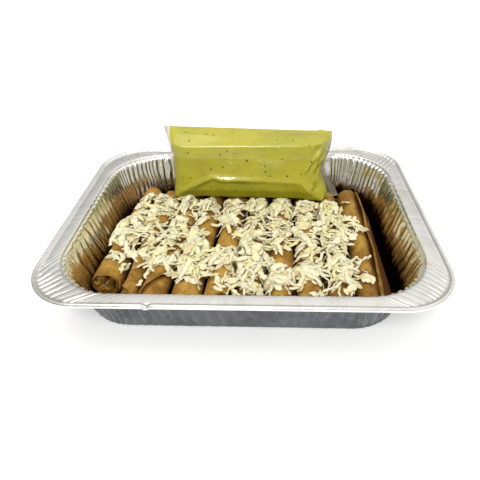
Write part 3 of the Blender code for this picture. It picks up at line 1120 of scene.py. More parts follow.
@dataclass
class Roll:
    """One rolled tortilla with its filling.

    Edges, ends, heights, span, bow and the flap's reach are in millimetres. The seam's angle, in degrees
    from the top, falls by the sweep towards both ends. The outer layer runs from the seam to the left, or
    to the right where the winding is -1. Its edge stands off by the flap, which fades over the flap's reach.
    """

    number: int
    front_edges: tuple[float, float]
    back_edges: tuple[float, float]
    ends: tuple[float, float]
    front_height: float
    seam_angle: float
    turns: float = 2.05
    back_height: float = 24.8
    span: float = 170.0
    bow: float = 1.5
    gap: float = 0.5 * MM
    layer: float = 1.9 * MM
    thickness: float = 1.72 * MM
    turn_length: float = 75.0
    rest: float = 1.1 * MM
    wave_depths: tuple[float, float] = (0.75 * MM, 0.3 * MM)
    sweep: float = 42
    winding: int = 1
    ragged: float = 1.6 * MM
    pull: float = 6 * MM
    flap: float = 1.5 * MM
    flap_reach: float = 4.0
    setback: float = 4.0 * MM
    lump_heights: tuple[float, float] = (1.5, 0.5)
    hollow_depth: float = 24.0
    open_end: bool = False
    ripples: tuple[Ripple, Ripple] = field(init=False)

    def __post_init__(self) -> None:
        """Draws the roll's own unevenness."""
        self.ripples = (Ripple(200 + self.number, 55 * MM), Ripple(300 + self.number, 17 * MM))

    def side(self, first: float, last: float, y: Array) -> Array:
        """The line between two rolls, bowed a little outwards from the tray's middle.

        Args:
            first: Where it starts at the front.
            last: Where it ends at the back.
            y: Distances along the tray.

        Returns:
            Its x at those distances.
        """
        share = (y / MM + self.span / 2) / self.span
        straight = first + (last - first) * share
        return (straight + self.bow * (straight / 120) * (1 - (2 * share - 1) ** 2)) * MM

    def axis(self, y: Array) -> tuple[Array, Array, Array]:
        """The roll's size along the tray.

        Args:
            y: Distances along the tray.

        Returns:
            Its middle, half width and half height there.
        """
        left = self.side(self.front_edges[0], self.back_edges[0], y)
        right = self.side(self.front_edges[1], self.back_edges[1], y)
        share = np.clip((y / MM - self.ends[0]) / (self.ends[1] - self.ends[0]), 0, 1)
        half_height = (self.front_height + (self.back_height - self.front_height) * share) * MM / 2
        return (left + right) / 2, (right - left) / 2 - self.gap, half_height

    def seam(self, y: Array) -> Array:
        """The seam's line: the round tortilla's edge bows away at the ends.

        Args:
            y: Distances along the tray.

        Returns:
            Its angle there.
        """
        middle = sum(self.ends) / 2
        share = np.clip(np.abs(y / MM - middle) / (self.ends[1] - middle), 0, 1)
        return np.radians(self.seam_angle - self.sweep * share**2)

    def place(self, y: Array, angle: Array, inset: Array | float) -> Array:
        """Points at angles round the roll.

        Args:
            y: Distances along the tray.
            angle: Angles from the top, positive to the right.
            inset: Depth under the roll's outside.

        Returns:
            The points, with x, y and z on the last axis.
        """
        middle, half_width, half_height = self.axis(y)
        skin = np.stack(
            [middle + np.sin(angle) * half_width, y, self.rest + half_height * (1 + np.cos(angle))], axis=-1
        )
        wave = sum(depth * ripple.at(skin) for depth, ripple in zip(self.wave_depths, self.ripples))
        depth = inset + np.abs(wave) * 0.4 + 0.3 * MM - wave * (np.cos(angle) > -0.3)
        x = middle + np.sin(angle) * (half_width - depth)
        z = np.cos(angle) * (half_height - depth)
        z = np.maximum(z, -(half_height - inset) * 0.97)
        return np.stack([x, y, self.rest + half_height + z], axis=-1)

    def crown(self, x: Array, y: Array) -> Array:
        """The roll's upper side.

        Args:
            x: Places across the tray.
            y: Places along the tray.

        Returns:
            Its height there, or 0 beside it.
        """
        middle, half_width, half_height = self.axis(y)
        across = np.clip(np.abs(x - middle) / half_width, 0, 1)
        height = self.rest + half_height * (1 + np.sqrt(1 - across**2)) - 0.3 * MM
        inside = (across < 1) & (y > self.ends[0] * MM) & (y < self.ends[1] * MM)
        return np.where(inside, height, 0.0)

    def soak_and_shade(self, share: Array, to_end: Array, outer: Array) -> Array:
        """How dark the tortilla is: partly sauce soaking, partly painted shade beside its seam, on its lip and
        on its inner turns.

        Args:
            share: Turns from the outer edge.
            to_end: Distances from the nearer end.
            outer: Points of the outer skin.

        Returns:
            A share from 0 to 1 for each point.
        """
        # Painted shadow on the layer under the seam's lifted edge, and painted shade on the lip; also darker
        # towards both ends.
        beside = np.exp(-np.abs(1 - share) * self.turn_length / 3.2) * (share > 0.5)
        lip_shade = np.exp(-share * self.turn_length / 1.0)
        soak_and_shade = 1.1 * beside + 0.5 * lip_shade + 0.25 * np.exp(-to_end / (2 * MM))
        soak_and_shade = np.clip(soak_and_shade * (0.75 + 0.35 * self.ripples[1].at(outer)), 0, 1)
        # The inner turns are darker: painted shade inside the roll.
        return np.maximum(soak_and_shade, 0.55 * smooth_step(share, 1.02, 1.2))

    def build_wrap(self, palette: Palette) -> None:
        """Builds the tortilla as one sheet that winds inwards, with rounded edges.

        Args:
            palette: The finishes.
        """
        around = np.concatenate([[0, 0.004, 0.012], np.linspace(0.025, self.turns, int(self.turns * 56))])
        along = np.concatenate([[0, 0.003, 0.008], np.linspace(0.016, 0.984, 76), [0.992, 0.997, 1]])
        share, t = np.meshgrid(around, along)
        front, back = (end * MM for end in self.ends)
        phase = self.number * 1.7
        y = front + (back - front) * t
        angle = self.seam(y) - self.winding * TAU * share
        reach = np.clip(1 - t * 7, 0, 1) - np.clip(1 - (1 - t) * 7, 0, 1)
        shift = -self.ragged * np.sin(angle * 2 + phase) - 0.5 * MM * np.sin(angle * 7 + phase)
        pulled = self.pull * np.clip(1 - share / 0.16, 0, 1) ** 1.5
        y = y + reach * (shift * 0.8 + pulled)
        to_end = np.minimum(t, 1 - t) * (back - front)
        to_edge = np.minimum(share, self.turns - share) * self.turn_length * MM
        edge = np.clip(np.minimum(to_end, to_edge) / (1.0 * MM), 0, 1)
        pinch = (1 - np.sqrt(1 - (1 - edge) ** 2)) * self.thickness * 0.36
        lift = 0.75 + 0.25 * np.sin(y / MM / 13 + phase)
        flap = self.flap * np.exp(-share * self.turn_length / self.flap_reach) * lift
        inset = self.layer * share - flap
        outer = self.place(y, angle, inset + pinch)
        inner = self.place(y, angle, inset + self.thickness - pinch)
        soak_and_shade = self.soak_and_shade(share, to_end, outer).ravel()
        faces = shell_faces(*share.shape)
        wrap = make_object(
            f"rolled_tortilla_{self.number:02d}",
            np.concatenate([outer, inner]),
            faces if self.winding > 0 else [face[::-1] for face in faces],
            (palette.tortilla,),
            # The inner skin is at least this dark: painted shade inside the roll.
            {"soak_and_shade": np.concatenate([soak_and_shade, np.maximum(soak_and_shade, 0.45)])},
        )
        hand_over(wrap, f"tortilla_{self.number:02d}")

    def build_filling(self, palette: Palette) -> None:
        """Builds the filling as one lumpy body with uneven faces at both ends.

        Args:
            palette: The finishes.
        """
        front, back = (end * MM for end in self.ends)
        face = np.array([0.12, 0.35, 0.6, 0.8, 0.93])
        radius = np.concatenate([face, np.ones(26), face[::-1]])
        along = np.linspace(front + self.setback, back - self.setback, 26)
        y = np.concatenate([np.full(5, along[0]), along, np.full(5, along[-1])])
        bulge = np.concatenate([-(1 - face**2), np.zeros(26), (1 - face[::-1] ** 2)]) * 1.4 * MM
        angle = np.linspace(0, TAU, 48, endpoint=False)
        angles, ys = np.meshgrid(angle, y)
        inset = self.layer * (self.turns + 0.35)
        points = self.place(ys, angles, inset)
        middle, _, half_height = self.axis(ys)
        centre = np.stack([middle, ys, self.rest + half_height], axis=-1)
        points = centre + (points - centre) * radius[:, None, None]
        points[..., 1] += bulge[:, None]
        lumps = Ripple(500 + self.number, 6 * MM, 16).at(points)
        crumbs = Ripple(600 + self.number, 2.6 * MM, 16).at(points)
        lump, crumb = self.lump_heights
        points[..., 1] += (lumps * lump + crumbs * crumb) * MM * (radius < 1)[:, None]
        if self.open_end:
            across = (points[..., 0] - centre[..., 0]) + 0.25 * (points[..., 2] - centre[..., 2])
            hollow = smooth_step(across, 1.5 * MM, 4.5 * MM)
            at_front = np.arange(len(radius)) < 6
            points[..., 1] += at_front[:, None] * (hollow * self.hollow_depth - 2.5) * MM
        rows, columns = angles.shape
        cloud = points.reshape(-1, 3)
        tips = np.array([cloud[:columns].mean(axis=0), cloud[-columns:].mean(axis=0)])
        count = len(cloud)
        base = count - columns
        faces = grid_faces(rows, columns, around=True)
        faces += [(count, (c + 1) % columns, c) for c in range(columns)]
        faces += [(count + 1, base + c, base + (c + 1) % columns) for c in range(columns)]
        name = f"roll_filling_{self.number:02d}"
        filling = make_object(name, np.vstack([cloud, tips]), faces, (palette.filling,))
        hand_over(filling, f"filling_{self.number:02d}")


@dataclass
class RollRow:
    """The ten rolls side by side, from left to right. Edges, ends, heights and flaps are in millimetres."""

    front_edges: Numbers = (-132.5, -103.5, -86, -60, -32, -6, 20, 45, 70, 94, 118)
    back_edges: Numbers = (-118, -94, -70, -46, -23, 1, 25, 49, 73, 97, 121)
    front_ends: Numbers = (-69, -86, -91, -92, -91, -93, -90, -92, -91, -92)
    back_ends: Numbers = (86, 80, 82, 79, 81, 78, 80, 82, 79, 83)
    front_heights: Numbers = (28.0, 24.0, 24.6, 25.4, 24.8, 25.2, 24.6, 25.0, 24.4, 25.6)
    seam_angles: Numbers = (205, -14, 120, 230, 150, -100, 95, 210, -75, 40)
    sweeps: Numbers = (42, 8, 195, 42, 110, 42, 42, 60, 42, 6)
    windings: tuple[int, ...] = (1, -1, 1, 1, 1, 1, 1, 1, 1, -1)
    flaps: Numbers = (1.2, 2.6, 2.4, 1.5, 2.0, 1.5, 1.5, 1.5, 1.5, 3.2)
    flap_reaches: Numbers = (4, 6, 4, 4, 4, 4, 4, 4, 4, 13)
    open_roll: int = 0
    open_turns: float = 1.35
    rolls: list[Roll] = field(init=False)

    def __post_init__(self) -> None:
        """Sets out the rolls; one has fewer turns and shows its filling."""
        self.rolls = [
            Roll(
                number=index + 1,
                front_edges=self.front_edges[index : index + 2],
                back_edges=self.back_edges[index : index + 2],
                ends=(self.front_ends[index], self.back_ends[index]),
                front_height=self.front_heights[index],
                seam_angle=self.seam_angles[index],
                sweep=self.sweeps[index],
                winding=self.windings[index],
                flap=self.flaps[index] * MM,
                flap_reach=self.flap_reaches[index],
                open_end=index == self.open_roll,
            )
            for index in range(len(self.front_ends))
        ]
        self.rolls[self.open_roll].turns = self.open_turns

    def crown(self, x: Array, y: Array) -> Array:
        """The height of the rolls' upper side over places on the tray."""
        return np.max([roll.crown(x, y) for roll in self.rolls], axis=0)

    def build(self, palette: Palette) -> None:
        """Builds every roll with its filling.

        Args:
            palette: The finishes.
        """
        for roll in self.rolls:
            roll.build_wrap(palette)
            roll.build_filling(palette)


# The shredded cheese


class HeapField:
    """The height of what lies in the tray, over a fine grid of places."""

    def __init__(self, rolls: RollRow, cell: float = 1 * MM) -> None:
        """Starts from the rolls' upper side.

        Args:
            rolls: The rolls.
            cell: The grid's step.
        """
        self.cell = cell
        self.origin = np.array([-150, -115]) * MM
        self.count = np.array([300, 220])
        xs, ys = (self.origin[axis] + np.arange(self.count[axis]) * cell for axis in (0, 1))
        grid_x, grid_y = np.meshgrid(xs, ys, indexing="ij")
        self.height = np.maximum(rolls.crown(grid_x, grid_y), 4 * MM)

    def cells(self, places: Array) -> tuple[Array, Array]:
        """Finds places in the grid.

        Args:
            places: The places, with x and y on the last axis.

        Returns:
            Their cells' numbers each way.
        """
        index = np.rint((places - self.origin) / self.cell).astype(int)
        index = np.clip(index, 0, self.count - 1)
        return index[..., 0], index[..., 1]

    def support(self, places: Array) -> Array:
        """The height at places."""
        return self.height[self.cells(places)]

    def lay(self, places: Array, tops: Array) -> None:
        """Raises the field to what now lies at places."""
        np.maximum.at(self.height, self.cells(places), tops)


class Cut(Enum):
    """How a piece of cheese came off the grater."""

    FLAKE = "cheese_flakes"
    STRIP = "cheese_strips"
    THREAD = "cheese_threads"


@dataclass(frozen=True)
class CutSize:
    """The range of sizes of one cut, in millimetres."""

    share: float
    length: tuple[float, float]
    width: tuple[float, float]
    flatness: float
    curl: float
    uneven: float


@dataclass
class CheeseHeap:
    """Loose pieces of white cheese, laid one on another over the rolls.

    Clumps are ellipses in millimetres: middle x, middle y, half width, half depth. Strays are single pieces
    off the heap, and back is the line that no piece crosses, both in millimetres too. A tear has its seed,
    its wavelength and its depths in millimetres along x, y and z.
    """

    cuts: dict[Cut, CutSize] = field(
        default_factory=lambda: {
            Cut.FLAKE: CutSize(0.34, (8, 17), (4.4, 8.8), 0.17, 0.7, 0.45),
            Cut.STRIP: CutSize(0.5, (13, 28), (2.6, 4.8), 0.28, 1.1, 0.35),
            Cut.THREAD: CutSize(0.16, (9, 22), (1.2, 2.1), 0.5, 1.6, 0.2),
        }
    )
    clumps: tuple[tuple[float, float, float, float], ...] = (
        (-92, 41, 22, 17), (-57, 42, 27, 14), (-103, 3, 19, 20), (-62, -16, 28, 25), (-86, -44, 30, 16),
        (-43, -54, 22, 20), (-18, -44, 16, 9), (-14, 42, 26, 11), (16, 42, 22, 12), (12, -3, 22, 20),
        (8, -38, 22, 22), (4, -74, 24, 19), (36, -66, 21, 13), (57, -62, 15, 9), (52, 4, 24, 14),
        (44, 38, 19, 13), (74, 32, 28, 18), (90, 4, 20, 20), (76, -46, 26, 19), (88, -70, 18, 13),
        (-98, 24, 12, 12), (84, -20, 12, 15), (-32, 20, 17, 7), (34, -24, 12, 11), (-70, 12, 14, 9),
        (-30, -30, 12, 10), (22, 22, 18, 5), (-112, -18, 10, 12), (-96, 56, 12, 13), (-66, 52, 20, 6),
        (-34, 51, 20, 5), (2, 50, 22, 4), (44, 47, 24, 4), (56, -16, 12, 7), (-16, 12, 9, 9), (91, 47, 8, 9),
    )
    strays: Pairs = (
        (103, 58), (60, -88), (-86, -72), (101, 22), (98, -52), (105, -61), (-20, 8), (30, -10), (111, -40),
        (66, -86), (-4, 14),
    )
    pieces: int = 1400
    stations: int = 9
    back: Pairs = (
        (-90, 72), (-80, 58), (-60, 56.5), (80, 48.5), (87, 48.5), (91, 56), (96, 60),
    )
    ceiling: float = 11.0 * MM
    stray_length: float = 8 * MM
    tears: tuple[tuple[int, float, tuple[float, float, float]], ...] = (
        (40, 4.2 * MM, (0.62, 0.62, 0.3)), (50, 1.9 * MM, (0.3, 0.3, 0.12)),
    )
    seed: int = 21

    def line(self, draw: np.random.Generator, x: float, y: float, length: float, curl: float) -> Array:
        """The places that one curved piece runs over.

        Args:
            draw: The random draw.
            x: Its middle.
            y: Its middle.
            length: How long it is.
            curl: How far it turns from end to end.

        Returns:
            One row of x, y for each station.
        """
        along = np.linspace(-0.5, 0.5, self.stations)
        heading = draw.uniform(0, TAU) + curl * along + draw.uniform(-0.5, 0.5) * np.sin(along * 9)
        step = np.stack([np.cos(heading), np.sin(heading)], axis=1) * length / (self.stations - 1)
        path = np.cumsum(step, axis=0)
        return path - path.mean(axis=0) + np.array([x, y])

    def drape(self, heap: HeapField, path: Array, width: float, thick: float) -> Array:
        """Lays a piece on the heap, bridging small gaps.

        Args:
            heap: The heap so far, which is raised.
            path: The piece's places.
            width: Its width.
            thick: Its thickness.

        Returns:
            The heights of its middle line.
        """
        along = np.gradient(path, axis=0)
        along /= np.linalg.norm(along, axis=1, keepdims=True) + 1e-9
        across = np.stack([-along[:, 1], along[:, 0]], axis=1) * width / 2
        sides = [path + across * share for share in (-0.85, -0.4, 0.0, 0.4, 0.85)]
        heights = [heap.support(side) for side in sides]
        ground = 0.45 * np.mean(heights, axis=0) + 0.55 * np.max(heights, axis=0)
        height = ground.copy()
        for _ in range(6):
            taut = height.copy()
            taut[1:-1] = (height[:-2] + height[2:]) / 2
            height = np.maximum(ground, taut)
            height[0] = max(ground[0], 2 * height[1] - height[2] - 1.0 * MM)
            height[-1] = max(ground[-1], 2 * height[-2] - height[-3] - 1.0 * MM)
        fine = np.linspace(0, self.stations - 1, self.stations * 4)
        grid = np.arange(self.stations)
        for side in sides:
            dense = np.stack([np.interp(fine, grid, side[:, axis]) for axis in (0, 1)], axis=1)
            heap.lay(dense, np.interp(fine, grid, height) + thick * 0.75)
        return height + thick / 2

    def draw_places(self, draw: np.random.Generator) -> list[tuple[float, float, float]]:
        """Draws where the pieces' middles lie.

        Args:
            draw: The random draw.

        Returns:
            Their places, each with how near its clump's middle it is.
        """
        area = np.array([half_x * half_y for _, _, half_x, half_y in self.clumps])
        places = []
        for clump in draw.choice(len(self.clumps), self.pieces, p=area / area.sum()):
            centre_x, centre_y, half_x, half_y = self.clumps[clump]
            turn = draw.uniform(0, TAU)
            reach = draw.uniform(0, 1) ** 0.5
            x = centre_x + math.cos(turn) * reach * half_x
            y = centre_y + math.sin(turn) * reach * half_y
            places.append((x * MM, y * MM, 1 - reach))
        return places

    def build(self, palette: Palette, rolls: RollRow, recipe: Recipe) -> None:
        """Lays every piece and sweeps the strips, one mesh for each cut.

        Args:
            palette: The finishes.
            rolls: What the cheese lies on.
            recipe: The tree that sweeps a strip along each line.
        """
        draw = np.random.default_rng(self.seed)
        heap = HeapField(rolls)
        ground = heap.height.copy()
        laid: dict[Cut, list[Array]] = {cut: [] for cut in Cut}
        chances = [self.cuts[cut].share for cut in Cut]
        places = self.draw_places(draw)
        places += [(x * MM, y * MM, -1.0) for x, y in self.strays]
        for x, y, inner in places:
            cut = list(Cut)[draw.choice(len(Cut), p=chances)]
            size = self.cuts[cut]
            length = draw.uniform(*size.length) * MM * (0.8 + 0.35 * max(inner, 0))
            width = draw.uniform(*size.width) * MM
            if inner < 0:
                length = min(length, self.stray_length)
            path = self.line(draw, x, y, length, draw.normal(0, size.curl))
            limit = np.interp(path[:, 0] / MM, *zip(*self.back)) * MM - width / 2
            path[:, 1] -= max(0.0, (path[:, 1] - limit).max())
            cells = heap.cells(path)
            if (heap.height[cells] - ground[cells]).max() > self.ceiling:
                continue
            height = self.drape(heap, path, width, width * size.flatness)
            taper = np.sin(np.linspace(0.4, math.pi - 0.4, self.stations)) ** 0.4
            wobble = draw.uniform(1 - size.uneven, 1 + 0.6 * size.uneven, self.stations)
            tone = draw.beta(1.3, 1.9) if draw.random() < 0.95 else 0.98
            tilt = draw.normal(0, 0.3) + np.linspace(0, draw.normal(0, 0.45), self.stations)
            tones = np.full(self.stations, tone)
            laid[cut].append(np.column_stack([path, height, width / 2 * taper * wobble, tilt, tones]))
        for cut, rows in laid.items():
            self.sweep(cut, np.concatenate(rows), palette, recipe)

    def sweep(self, cut: Cut, rows: Array, palette: Palette, recipe: Recipe) -> None:
        """Turns one cut's lines into strips with torn, uneven sides.

        Args:
            cut: The cut.
            rows: Place, half width, tilt and tone at each station of each piece.
            palette: The finishes.
            recipe: The tree that sweeps a strip along each line.
        """
        count = self.stations
        edges = [(start + n, start + n + 1) for start in range(0, len(rows), count) for n in range(count - 1)]
        values = {"half_width": rows[:, 3], "tilt": rows[:, 4], "tone": rows[:, 5]}
        cheese = make_object(cut.value, rows[:, :3], (), (), values, edges)
        recipe.run(cheese, Flatness=self.cuts[cut].flatness, Profile_Points=8, Material=palette.cheese)
        mesh = cheese.data
        cloud = np.empty(len(mesh.vertices) * 3)
        mesh.vertices.foreach_get("co", cloud)
        cloud = cloud.reshape(-1, 3)
        torn = [
            np.stack([Ripple(seed + axis, length, 14).at(cloud) for axis in range(3)], axis=1) * depths
            for seed, length, depths in self.tears
        ]
        cloud += sum(torn) * MM
        mesh.vertices.foreach_set("co", cloud.ravel())
        mesh.update()
        hand_over(cheese, "shredded_cheese")


# The sauce pouch


@dataclass
class SaucePouch:
    """A sealed film pouch of green sauce that lies on the rolls' back ends and leans on the back wall.

    The section, the seals, the core and the creases are in millimetres, as places in depth and height or
    along and up the front. The insets, the flap and the tail are widths at shares of the height.
    """

    section: Pairs = (
        (58.5, 26.2), (55.9, 38), (55.8, 56), (57.3, 74), (59.6, 86.2), (74, 91.2), (88, 93.0), (99.5, 83),
        (106.5, 66), (109, 50), (106, 36), (96, 26.2),
    )
    seal_low: tuple[float, float] = (63, 27.8)
    seal_high: tuple[float, float] = (88, 93)
    seal_half: float = 0.45
    core: tuple[float, float] = (82, 60)
    rounding: int = 12
    rise: Pairs = (
        (0, 0), (0.083, 0.14), (0.167, 0.4), (0.25, 0.7), (0.333, 0.94), (0.5, 1), (1, 0),
    )
    bottom: float = 26.2
    height: float = 69.0
    left: tuple[float, float] = (-77, -89)
    right: tuple[float, float] = (86, 87)
    waist: float = 9.0
    drop: float = -7.5
    forward: float = 7.0
    left_inset: Pairs = ((0.05, 1.0), (0.31, 5.5), (0.57, 7.5), (0.8, 7.8), (0.95, 9.0))
    left_flap: Pairs = ((0.2, 1.0), (0.55, 1.4), (0.8, 2.6), (1.0, 6.5))
    right_tail: Pairs = ((0.0, 12.0), (0.2, 7.0), (0.42, 3.0), (0.6, 1.2))
    crease: Pairs = (
        (-80, 26), (-70, 35), (-58.6, 42.3), (-34, 54), (-25, 51.6), (-6, 51.5), (12, 51), (55, 48.5),
        (68, 34), (75, 29), (90, 27),
    )
    tuck_slope: float = 0.24
    ridge_depth: float = 0.9
    ridge_extra: float = 2.0
    ridge_place: float = -17
    ridge_reach: float = 24
    ridge_width: float = 3.3
    right_crumple: tuple[float, float] = (3.4, 1.2)
    left_crumple: float = 1.2
    broad_crumple: float = 0.5
    fold_depth: float = 1.1
    film_wall: float = 0.3 * MM
    sauce_depth: float = 0.2 * MM
    speck_depth: float = 0.14 * MM
    columns: int = 132
    points_round: int = 216
    seed: int = 31

    def rounded_section(self, v: Array) -> list[Array]:
        """The filled pouch's section, with its corners rounded.

        Args:
            v: Share of the way round, up the front and down the back.

        Returns:
            Its y and its z, in millimetres.
        """
        knots = np.linspace(0, 1, len(self.section) + 1)
        outline = np.array([*self.section, self.section[0]])
        dense = np.arange(1440) / 1440
        reach = 2 * self.rounding
        kernel = np.exp(-((np.arange(-reach, reach + 1) / self.rounding) ** 2))
        kernel /= kernel.sum()
        rounded = []
        for axis in (0, 1):
            line = np.interp(dense, knots, outline[:, axis])
            wrapped = np.concatenate([line[-reach:], line, line[:reach]])
            rounded.append(np.interp(v, dense, np.convolve(wrapped, kernel, "valid"), period=1))
        return rounded

    def flat_section(self, v: Array) -> list[Array]:
        """The section at the seals, where front and back film nearly meet.

        Args:
            v: Share of the way round, up the front and down the back.

        Returns:
            Its y and its z, in millimetres.
        """
        rising = np.interp(v, *zip(*self.rise))
        low = np.array(self.seal_low)
        run = np.array(self.seal_high) - low
        normal = np.array([-run[1], run[0]]) / np.linalg.norm(run)
        side = np.where(v < 0.5, 1.0, -1.0) * np.clip(np.minimum(v, 1 - v) * 24, 0, 1)
        side = side * np.clip(np.abs(v - 0.5) * 24, 0, 1) * self.seal_half
        return [low[axis] + run[axis] * rising + normal[axis] * side for axis in (0, 1)]

    def along(self, u: Array, up: Array) -> Array:
        """Where shares of the length lie, with the film's flap and tail beyond the sauce.

        Args:
            u: Share of the sauce's length.
            up: Share of the height.

        Returns:
            Their x, in millimetres.
        """
        start = self.left[0] + (self.left[1] - self.left[0]) * up + np.interp(up, *zip(*self.left_inset))
        end = self.right[0] + (self.right[1] - self.right[0]) * up
        end = end - self.waist * np.exp(-(((up - 0.42) / 0.25) ** 2))
        x = start + (end - start) * np.clip(u, 0, 1)
        film_left = start - np.interp(up, *zip(*self.left_flap))
        film_right = end + np.interp(up, *zip(*self.right_tail))
        x = np.where(u < 0, start + (film_left - start) * -u, x)
        return np.where(u > 1, end + (film_right - end) * (u - 1), x)

    def shape(self, u: Array, v: Array, depth: float) -> Array:
        """Points of the pouch's outside.

        Args:
            u: Share of the sauce's length, from 0 at the left; beyond 0 and 1 lies the flat film.
            v: Share of the way round, up the front and down the back.
            depth: How far inside the film's outside the points lie.

        Returns:
            The points, with x, y and z on the last axis.
        """
        full_y, full_z = self.rounded_section(v)
        flat_y, flat_z = self.flat_section(v)
        inside = np.clip(u, 0, 1)
        left_rise = 1 - np.clip(1 - inside / 0.1, 0, 1) ** 2.2
        right_rise = 1 - np.clip((inside - 0.8) / 0.2, 0, 1) ** 1.7
        fullness = np.sqrt(left_rise * right_rise)
        y = flat_y + (full_y - flat_y) * fullness
        z = flat_z + (full_z - flat_z) * fullness
        up = (z - self.bottom) / self.height
        x = self.along(u, up)
        front = smooth_step(78 - y, 0, 12)
        z = z + self.drop * (inside - 0.5) * up * smooth_step(y, 60, 84)
        y = y - self.forward * inside * front * (1 - np.clip(up, 0, 1)) * fullness
        line = np.interp(x, *zip(*self.crease))
        tuck = np.clip(line - z, 0, 40)
        extra = self.ridge_extra * np.exp(-(((x - self.ridge_place) / self.ridge_reach) ** 2))
        ridge = (self.ridge_depth + extra) * np.exp(-(((z - line) / self.ridge_width) ** 2))
        y = y + front * fullness * (tuck * self.tuck_slope - ridge)
        y = self.wrinkled(x, y, z, inside, up, front)
        z = np.maximum(z, self.bottom)
        points = np.stack([x, y, z], axis=-1) * MM
        if depth:
            core_y, core_z = self.core
            core = np.stack([x, np.full_like(x, core_y), np.full_like(x, core_z)], axis=-1) * MM
            inward = core - points
            inward /= np.linalg.norm(inward, axis=-1, keepdims=True)
            points += inward * depth * np.clip(fullness * 4, 0.25, 1)[..., None]
        return points

    def wrinkled(self, x: Array, y: Array, z: Array, u: Array, up: Array, front: Array) -> Array:
        """Adds the film's folds, which grow towards the ends.

        Args:
            x: Places along the pouch, in millimetres.
            y: Depths, in millimetres.
            z: Heights, in millimetres.
            u: Share of the length.
            up: Share of the height.
            front: 1 on the front, 0 at the back.

        Returns:
            The new depths.
        """
        right = smooth_step(u, 0.84, 0.97) * smooth_step(1 - u, 0.0, 0.02)
        left = smooth_step(1 - u, 0.9, 0.99) * smooth_step(u, 0.0, 0.015)
        side = 2 * front - 1
        fine = facets(u, up, (46, 9), self.seed)
        broad = facets(u, up, (11, 3), self.seed + 1)
        depth, lift = self.right_crumple
        y = y - side * (right * (depth * fine + lift) + left * self.left_crumple * fine)
        y = y - side * self.broad_crumple * broad * smooth_step(1 - up, 0.1, 0.3)
        fold = 63 + 9 * smooth_step(up, 0.35, 0.0) + 8 * smooth_step(up, 0.7, 1.0)
        near = np.exp(-(((x - fold) / 2.2) ** 2)) * smooth_step(up, 0.0, 0.15)
        y = y - front * near * self.fold_depth
        low_folds = facets(u, np.full_like(up, 0.5), (26, 2), self.seed + 2)
        line = np.interp(x, *zip(*self.crease))
        return y - front * smooth_step(line - z, 1, 10) * self.fold_depth * low_folds

    def skin(
        self, name: str, u: Array, depth: float, material: Material, values: Mapping[str, Array] | None = None
    ) -> Object:
        """Makes a closed skin whose ends are flat.

        Args:
            name: The piece's name.
            u: Shares of the sauce's length, one for each ring of points.
            depth: How far inside the film's outside the skin lies.
            material: Its finish.
            values: Numbers that each ring carries.

        Returns:
            The object.
        """
        v = (np.arange(self.points_round) + 0.5) / self.points_round
        grid_u, grid_v = np.meshgrid(u, v, indexing="ij")
        rows, columns = grid_u.shape
        faces = [face[::-1] for face in grid_faces(rows, columns, around=True)]
        for base, turn in ((0, 1), ((rows - 1) * columns, -1)):
            for k in range(columns // 2 - 1):
                face = (base + k, base + k + 1, base + columns - 2 - k, base + columns - 1 - k)
                faces.append(face[::turn])
        carried = {label: np.repeat(value, columns) for label, value in (values or {}).items()}
        return make_object(name, self.shape(grid_u, grid_v, depth), faces, (material,), carried)

    def build(self, palette: Palette, recipe: Recipe) -> None:
        """Builds the film with its flat ends, the sauce that fills it and the specks between them.

        Args:
            palette: The finishes.
            recipe: The tree that scatters the specks.
        """
        body = np.linspace(0, 1, self.columns)
        body = body - 0.02 * np.sin(TAU * body)
        u = np.concatenate([[-1, -0.66, -0.33], body, [1.2, 1.4, 1.6, 1.8, 2.0]])
        haze = smooth_step(-u, 0, 0.3) + smooth_step(u, 1.0, 1.3)
        film = self.skin("pouch_film", u, 0.0, palette.film, {"haze": haze})
        thicken(film, self.film_wall)
        sauce = self.skin("green_sauce", body, self.sauce_depth, palette.sauce)
        grid_u, grid_v = np.meshgrid(np.linspace(0.05, 0.93, 60), np.linspace(0.05, 0.46, 40), indexing="ij")
        faces = [face[::-1] for face in grid_faces(*grid_u.shape)]
        specks = make_object("herb_specks", self.shape(grid_u, grid_v, self.speck_depth), faces, ())
        recipe.run(
            specks,
            Density=4200.0,
            Smallest=0.25 * MM,
            Largest=1.0 * MM,
            Flatness=0.3,
            Seed=5,
            Material=palette.herb,
        )
        for piece in (film, sauce, specks):
            hand_over(piece, "sauce_pouch")


# The studio


@dataclass(frozen=True)
class Lamp:
    """One soft area light."""

    name: str
    place: tuple[float, float, float]
    target: tuple[float, float, float]
    size: float
    power: float
    colour: tuple[float, float, float] = (1.0, 0.98, 0.95)

    def build(self) -> None:
        """Makes the light and aims it."""
        data = bpy.data.lights.new(self.name, "AREA")
        data.shape = "DISK"
        data.size = self.size
        data.energy = self.power
        data.color = self.colour
        lamp = bpy.data.objects.new(self.name, data)
        lamp.location = self.place
        aim = Vector(self.target) - Vector(self.place)
        lamp.rotation_euler = aim.to_track_quat("-Z", "Y").to_euler()
        bpy.context.scene.collection.objects.link(lamp)


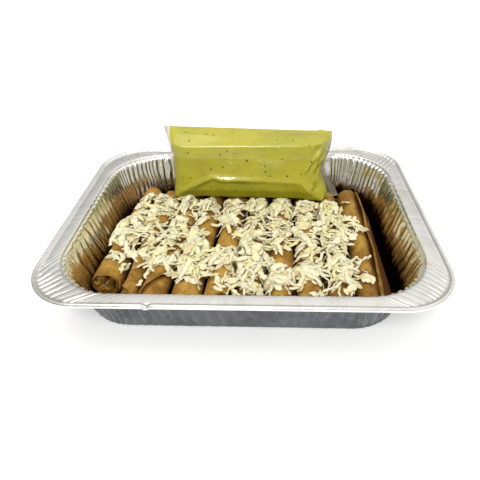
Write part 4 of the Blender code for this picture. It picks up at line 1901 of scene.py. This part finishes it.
@dataclass
class Studio:
    """The pale floor, the soft light and the camera."""

    lamps: tuple[Lamp, ...] = (
        Lamp("overhead softbox", (-0.3, 0.1, 1.6), (0, 0, 0), 1.2, 5.0),
        Lamp("front softbox", (-0.2, -1.27, 1.38), (0, 0, 0.03), 0.55, 13.0),
    )
    sky: float = 0.7
    camera_place: tuple[float, float, float] = (0.0228, -0.3619, 0.2755)
    pitch: float = math.radians(35.691)
    yaw: float = math.radians(-4.285)
    roll: float = math.radians(-2.209)
    lens: float = 34.48

    def build(self, palette: Palette) -> None:
        """Sets up the floor, the light and the camera.

        Args:
            palette: The finishes.
        """
        reach = 9.0
        floor = make_object(
            "floor",
            np.array([[-reach, -reach, 0], [reach, -reach, 0], [reach, reach, 0], [-reach, reach, 0]]),
            [(0, 1, 2, 3)],
            (palette.floor,),
        )
        bpy.context.scene.view_settings.view_transform = "Standard"
        for lamp in self.lamps:
            lamp.build()
        self.build_sky()
        self.build_camera()

    def build_sky(self) -> None:
        """Lights the room softly, brighter above and to the right."""
        world = bpy.data.worlds.new("soft room")
        bpy.context.scene.world = world
        world.use_nodes = True
        graph = Graph(world.node_tree)
        parts = graph.add("ShaderNodeSeparateXYZ", {0: graph.add("ShaderNodeTexCoord").outputs["Generated"]})
        above = graph.spread(parts.outputs["Z"], 0.3, 0.75, 0.0, 1.0)
        right = graph.spread(parts.outputs["X"], -0.9, 0.9, 0.0, 1.0)
        share = graph.math("ADD", graph.times(above, 0.55), graph.times(right, 0.45))
        colour = graph.mix(share, (0.5, 0.5, 0.5, 1), (1.45, 1.45, 1.42, 1))
        background = world.node_tree.nodes["Background"]
        graph.feed(background.inputs["Color"], colour)
        graph.feed(background.inputs["Strength"], self.sky)

    def build_camera(self) -> None:
        """Places the camera where the photograph was taken from."""
        forward = Vector(
            (
                math.sin(self.yaw) * math.cos(self.pitch),
                math.cos(self.yaw) * math.cos(self.pitch),
                -math.sin(self.pitch),
            )
        )
        level = Vector((math.cos(self.yaw), -math.sin(self.yaw), 0))
        raised = level.cross(forward)
        right = level * math.cos(self.roll) + raised * math.sin(self.roll)
        up = -level * math.sin(self.roll) + raised * math.cos(self.roll)
        data = bpy.data.cameras.new("camera")
        data.sensor_width = 36
        data.lens = self.lens
        data.clip_start = 0.01
        data.dof.use_dof = False
        camera = bpy.data.objects.new("camera", data)
        turn = Matrix((right, up, -forward)).transposed()
        camera.matrix_world = Matrix.Translation(self.camera_place) @ turn.to_4x4()
        bpy.context.scene.collection.objects.link(camera)
        bpy.context.scene.camera = camera


def main() -> None:
    """Loads the frame, builds every piece in order and notes the sizes."""
    logging.basicConfig(level=logging.INFO, format="%(name)s: %(message)s", stream=sys.stdout)
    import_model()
    palette = Palette()
    Studio().build(palette)
    FoilTray().build(palette, pressed_foil_recipe())
    rolls = RollRow()
    rolls.build(palette)
    CheeseHeap().build(palette, rolls, strip_recipe())
    SaucePouch().build(palette, scatter_recipe())


if __name__ == "__main__":
    main()
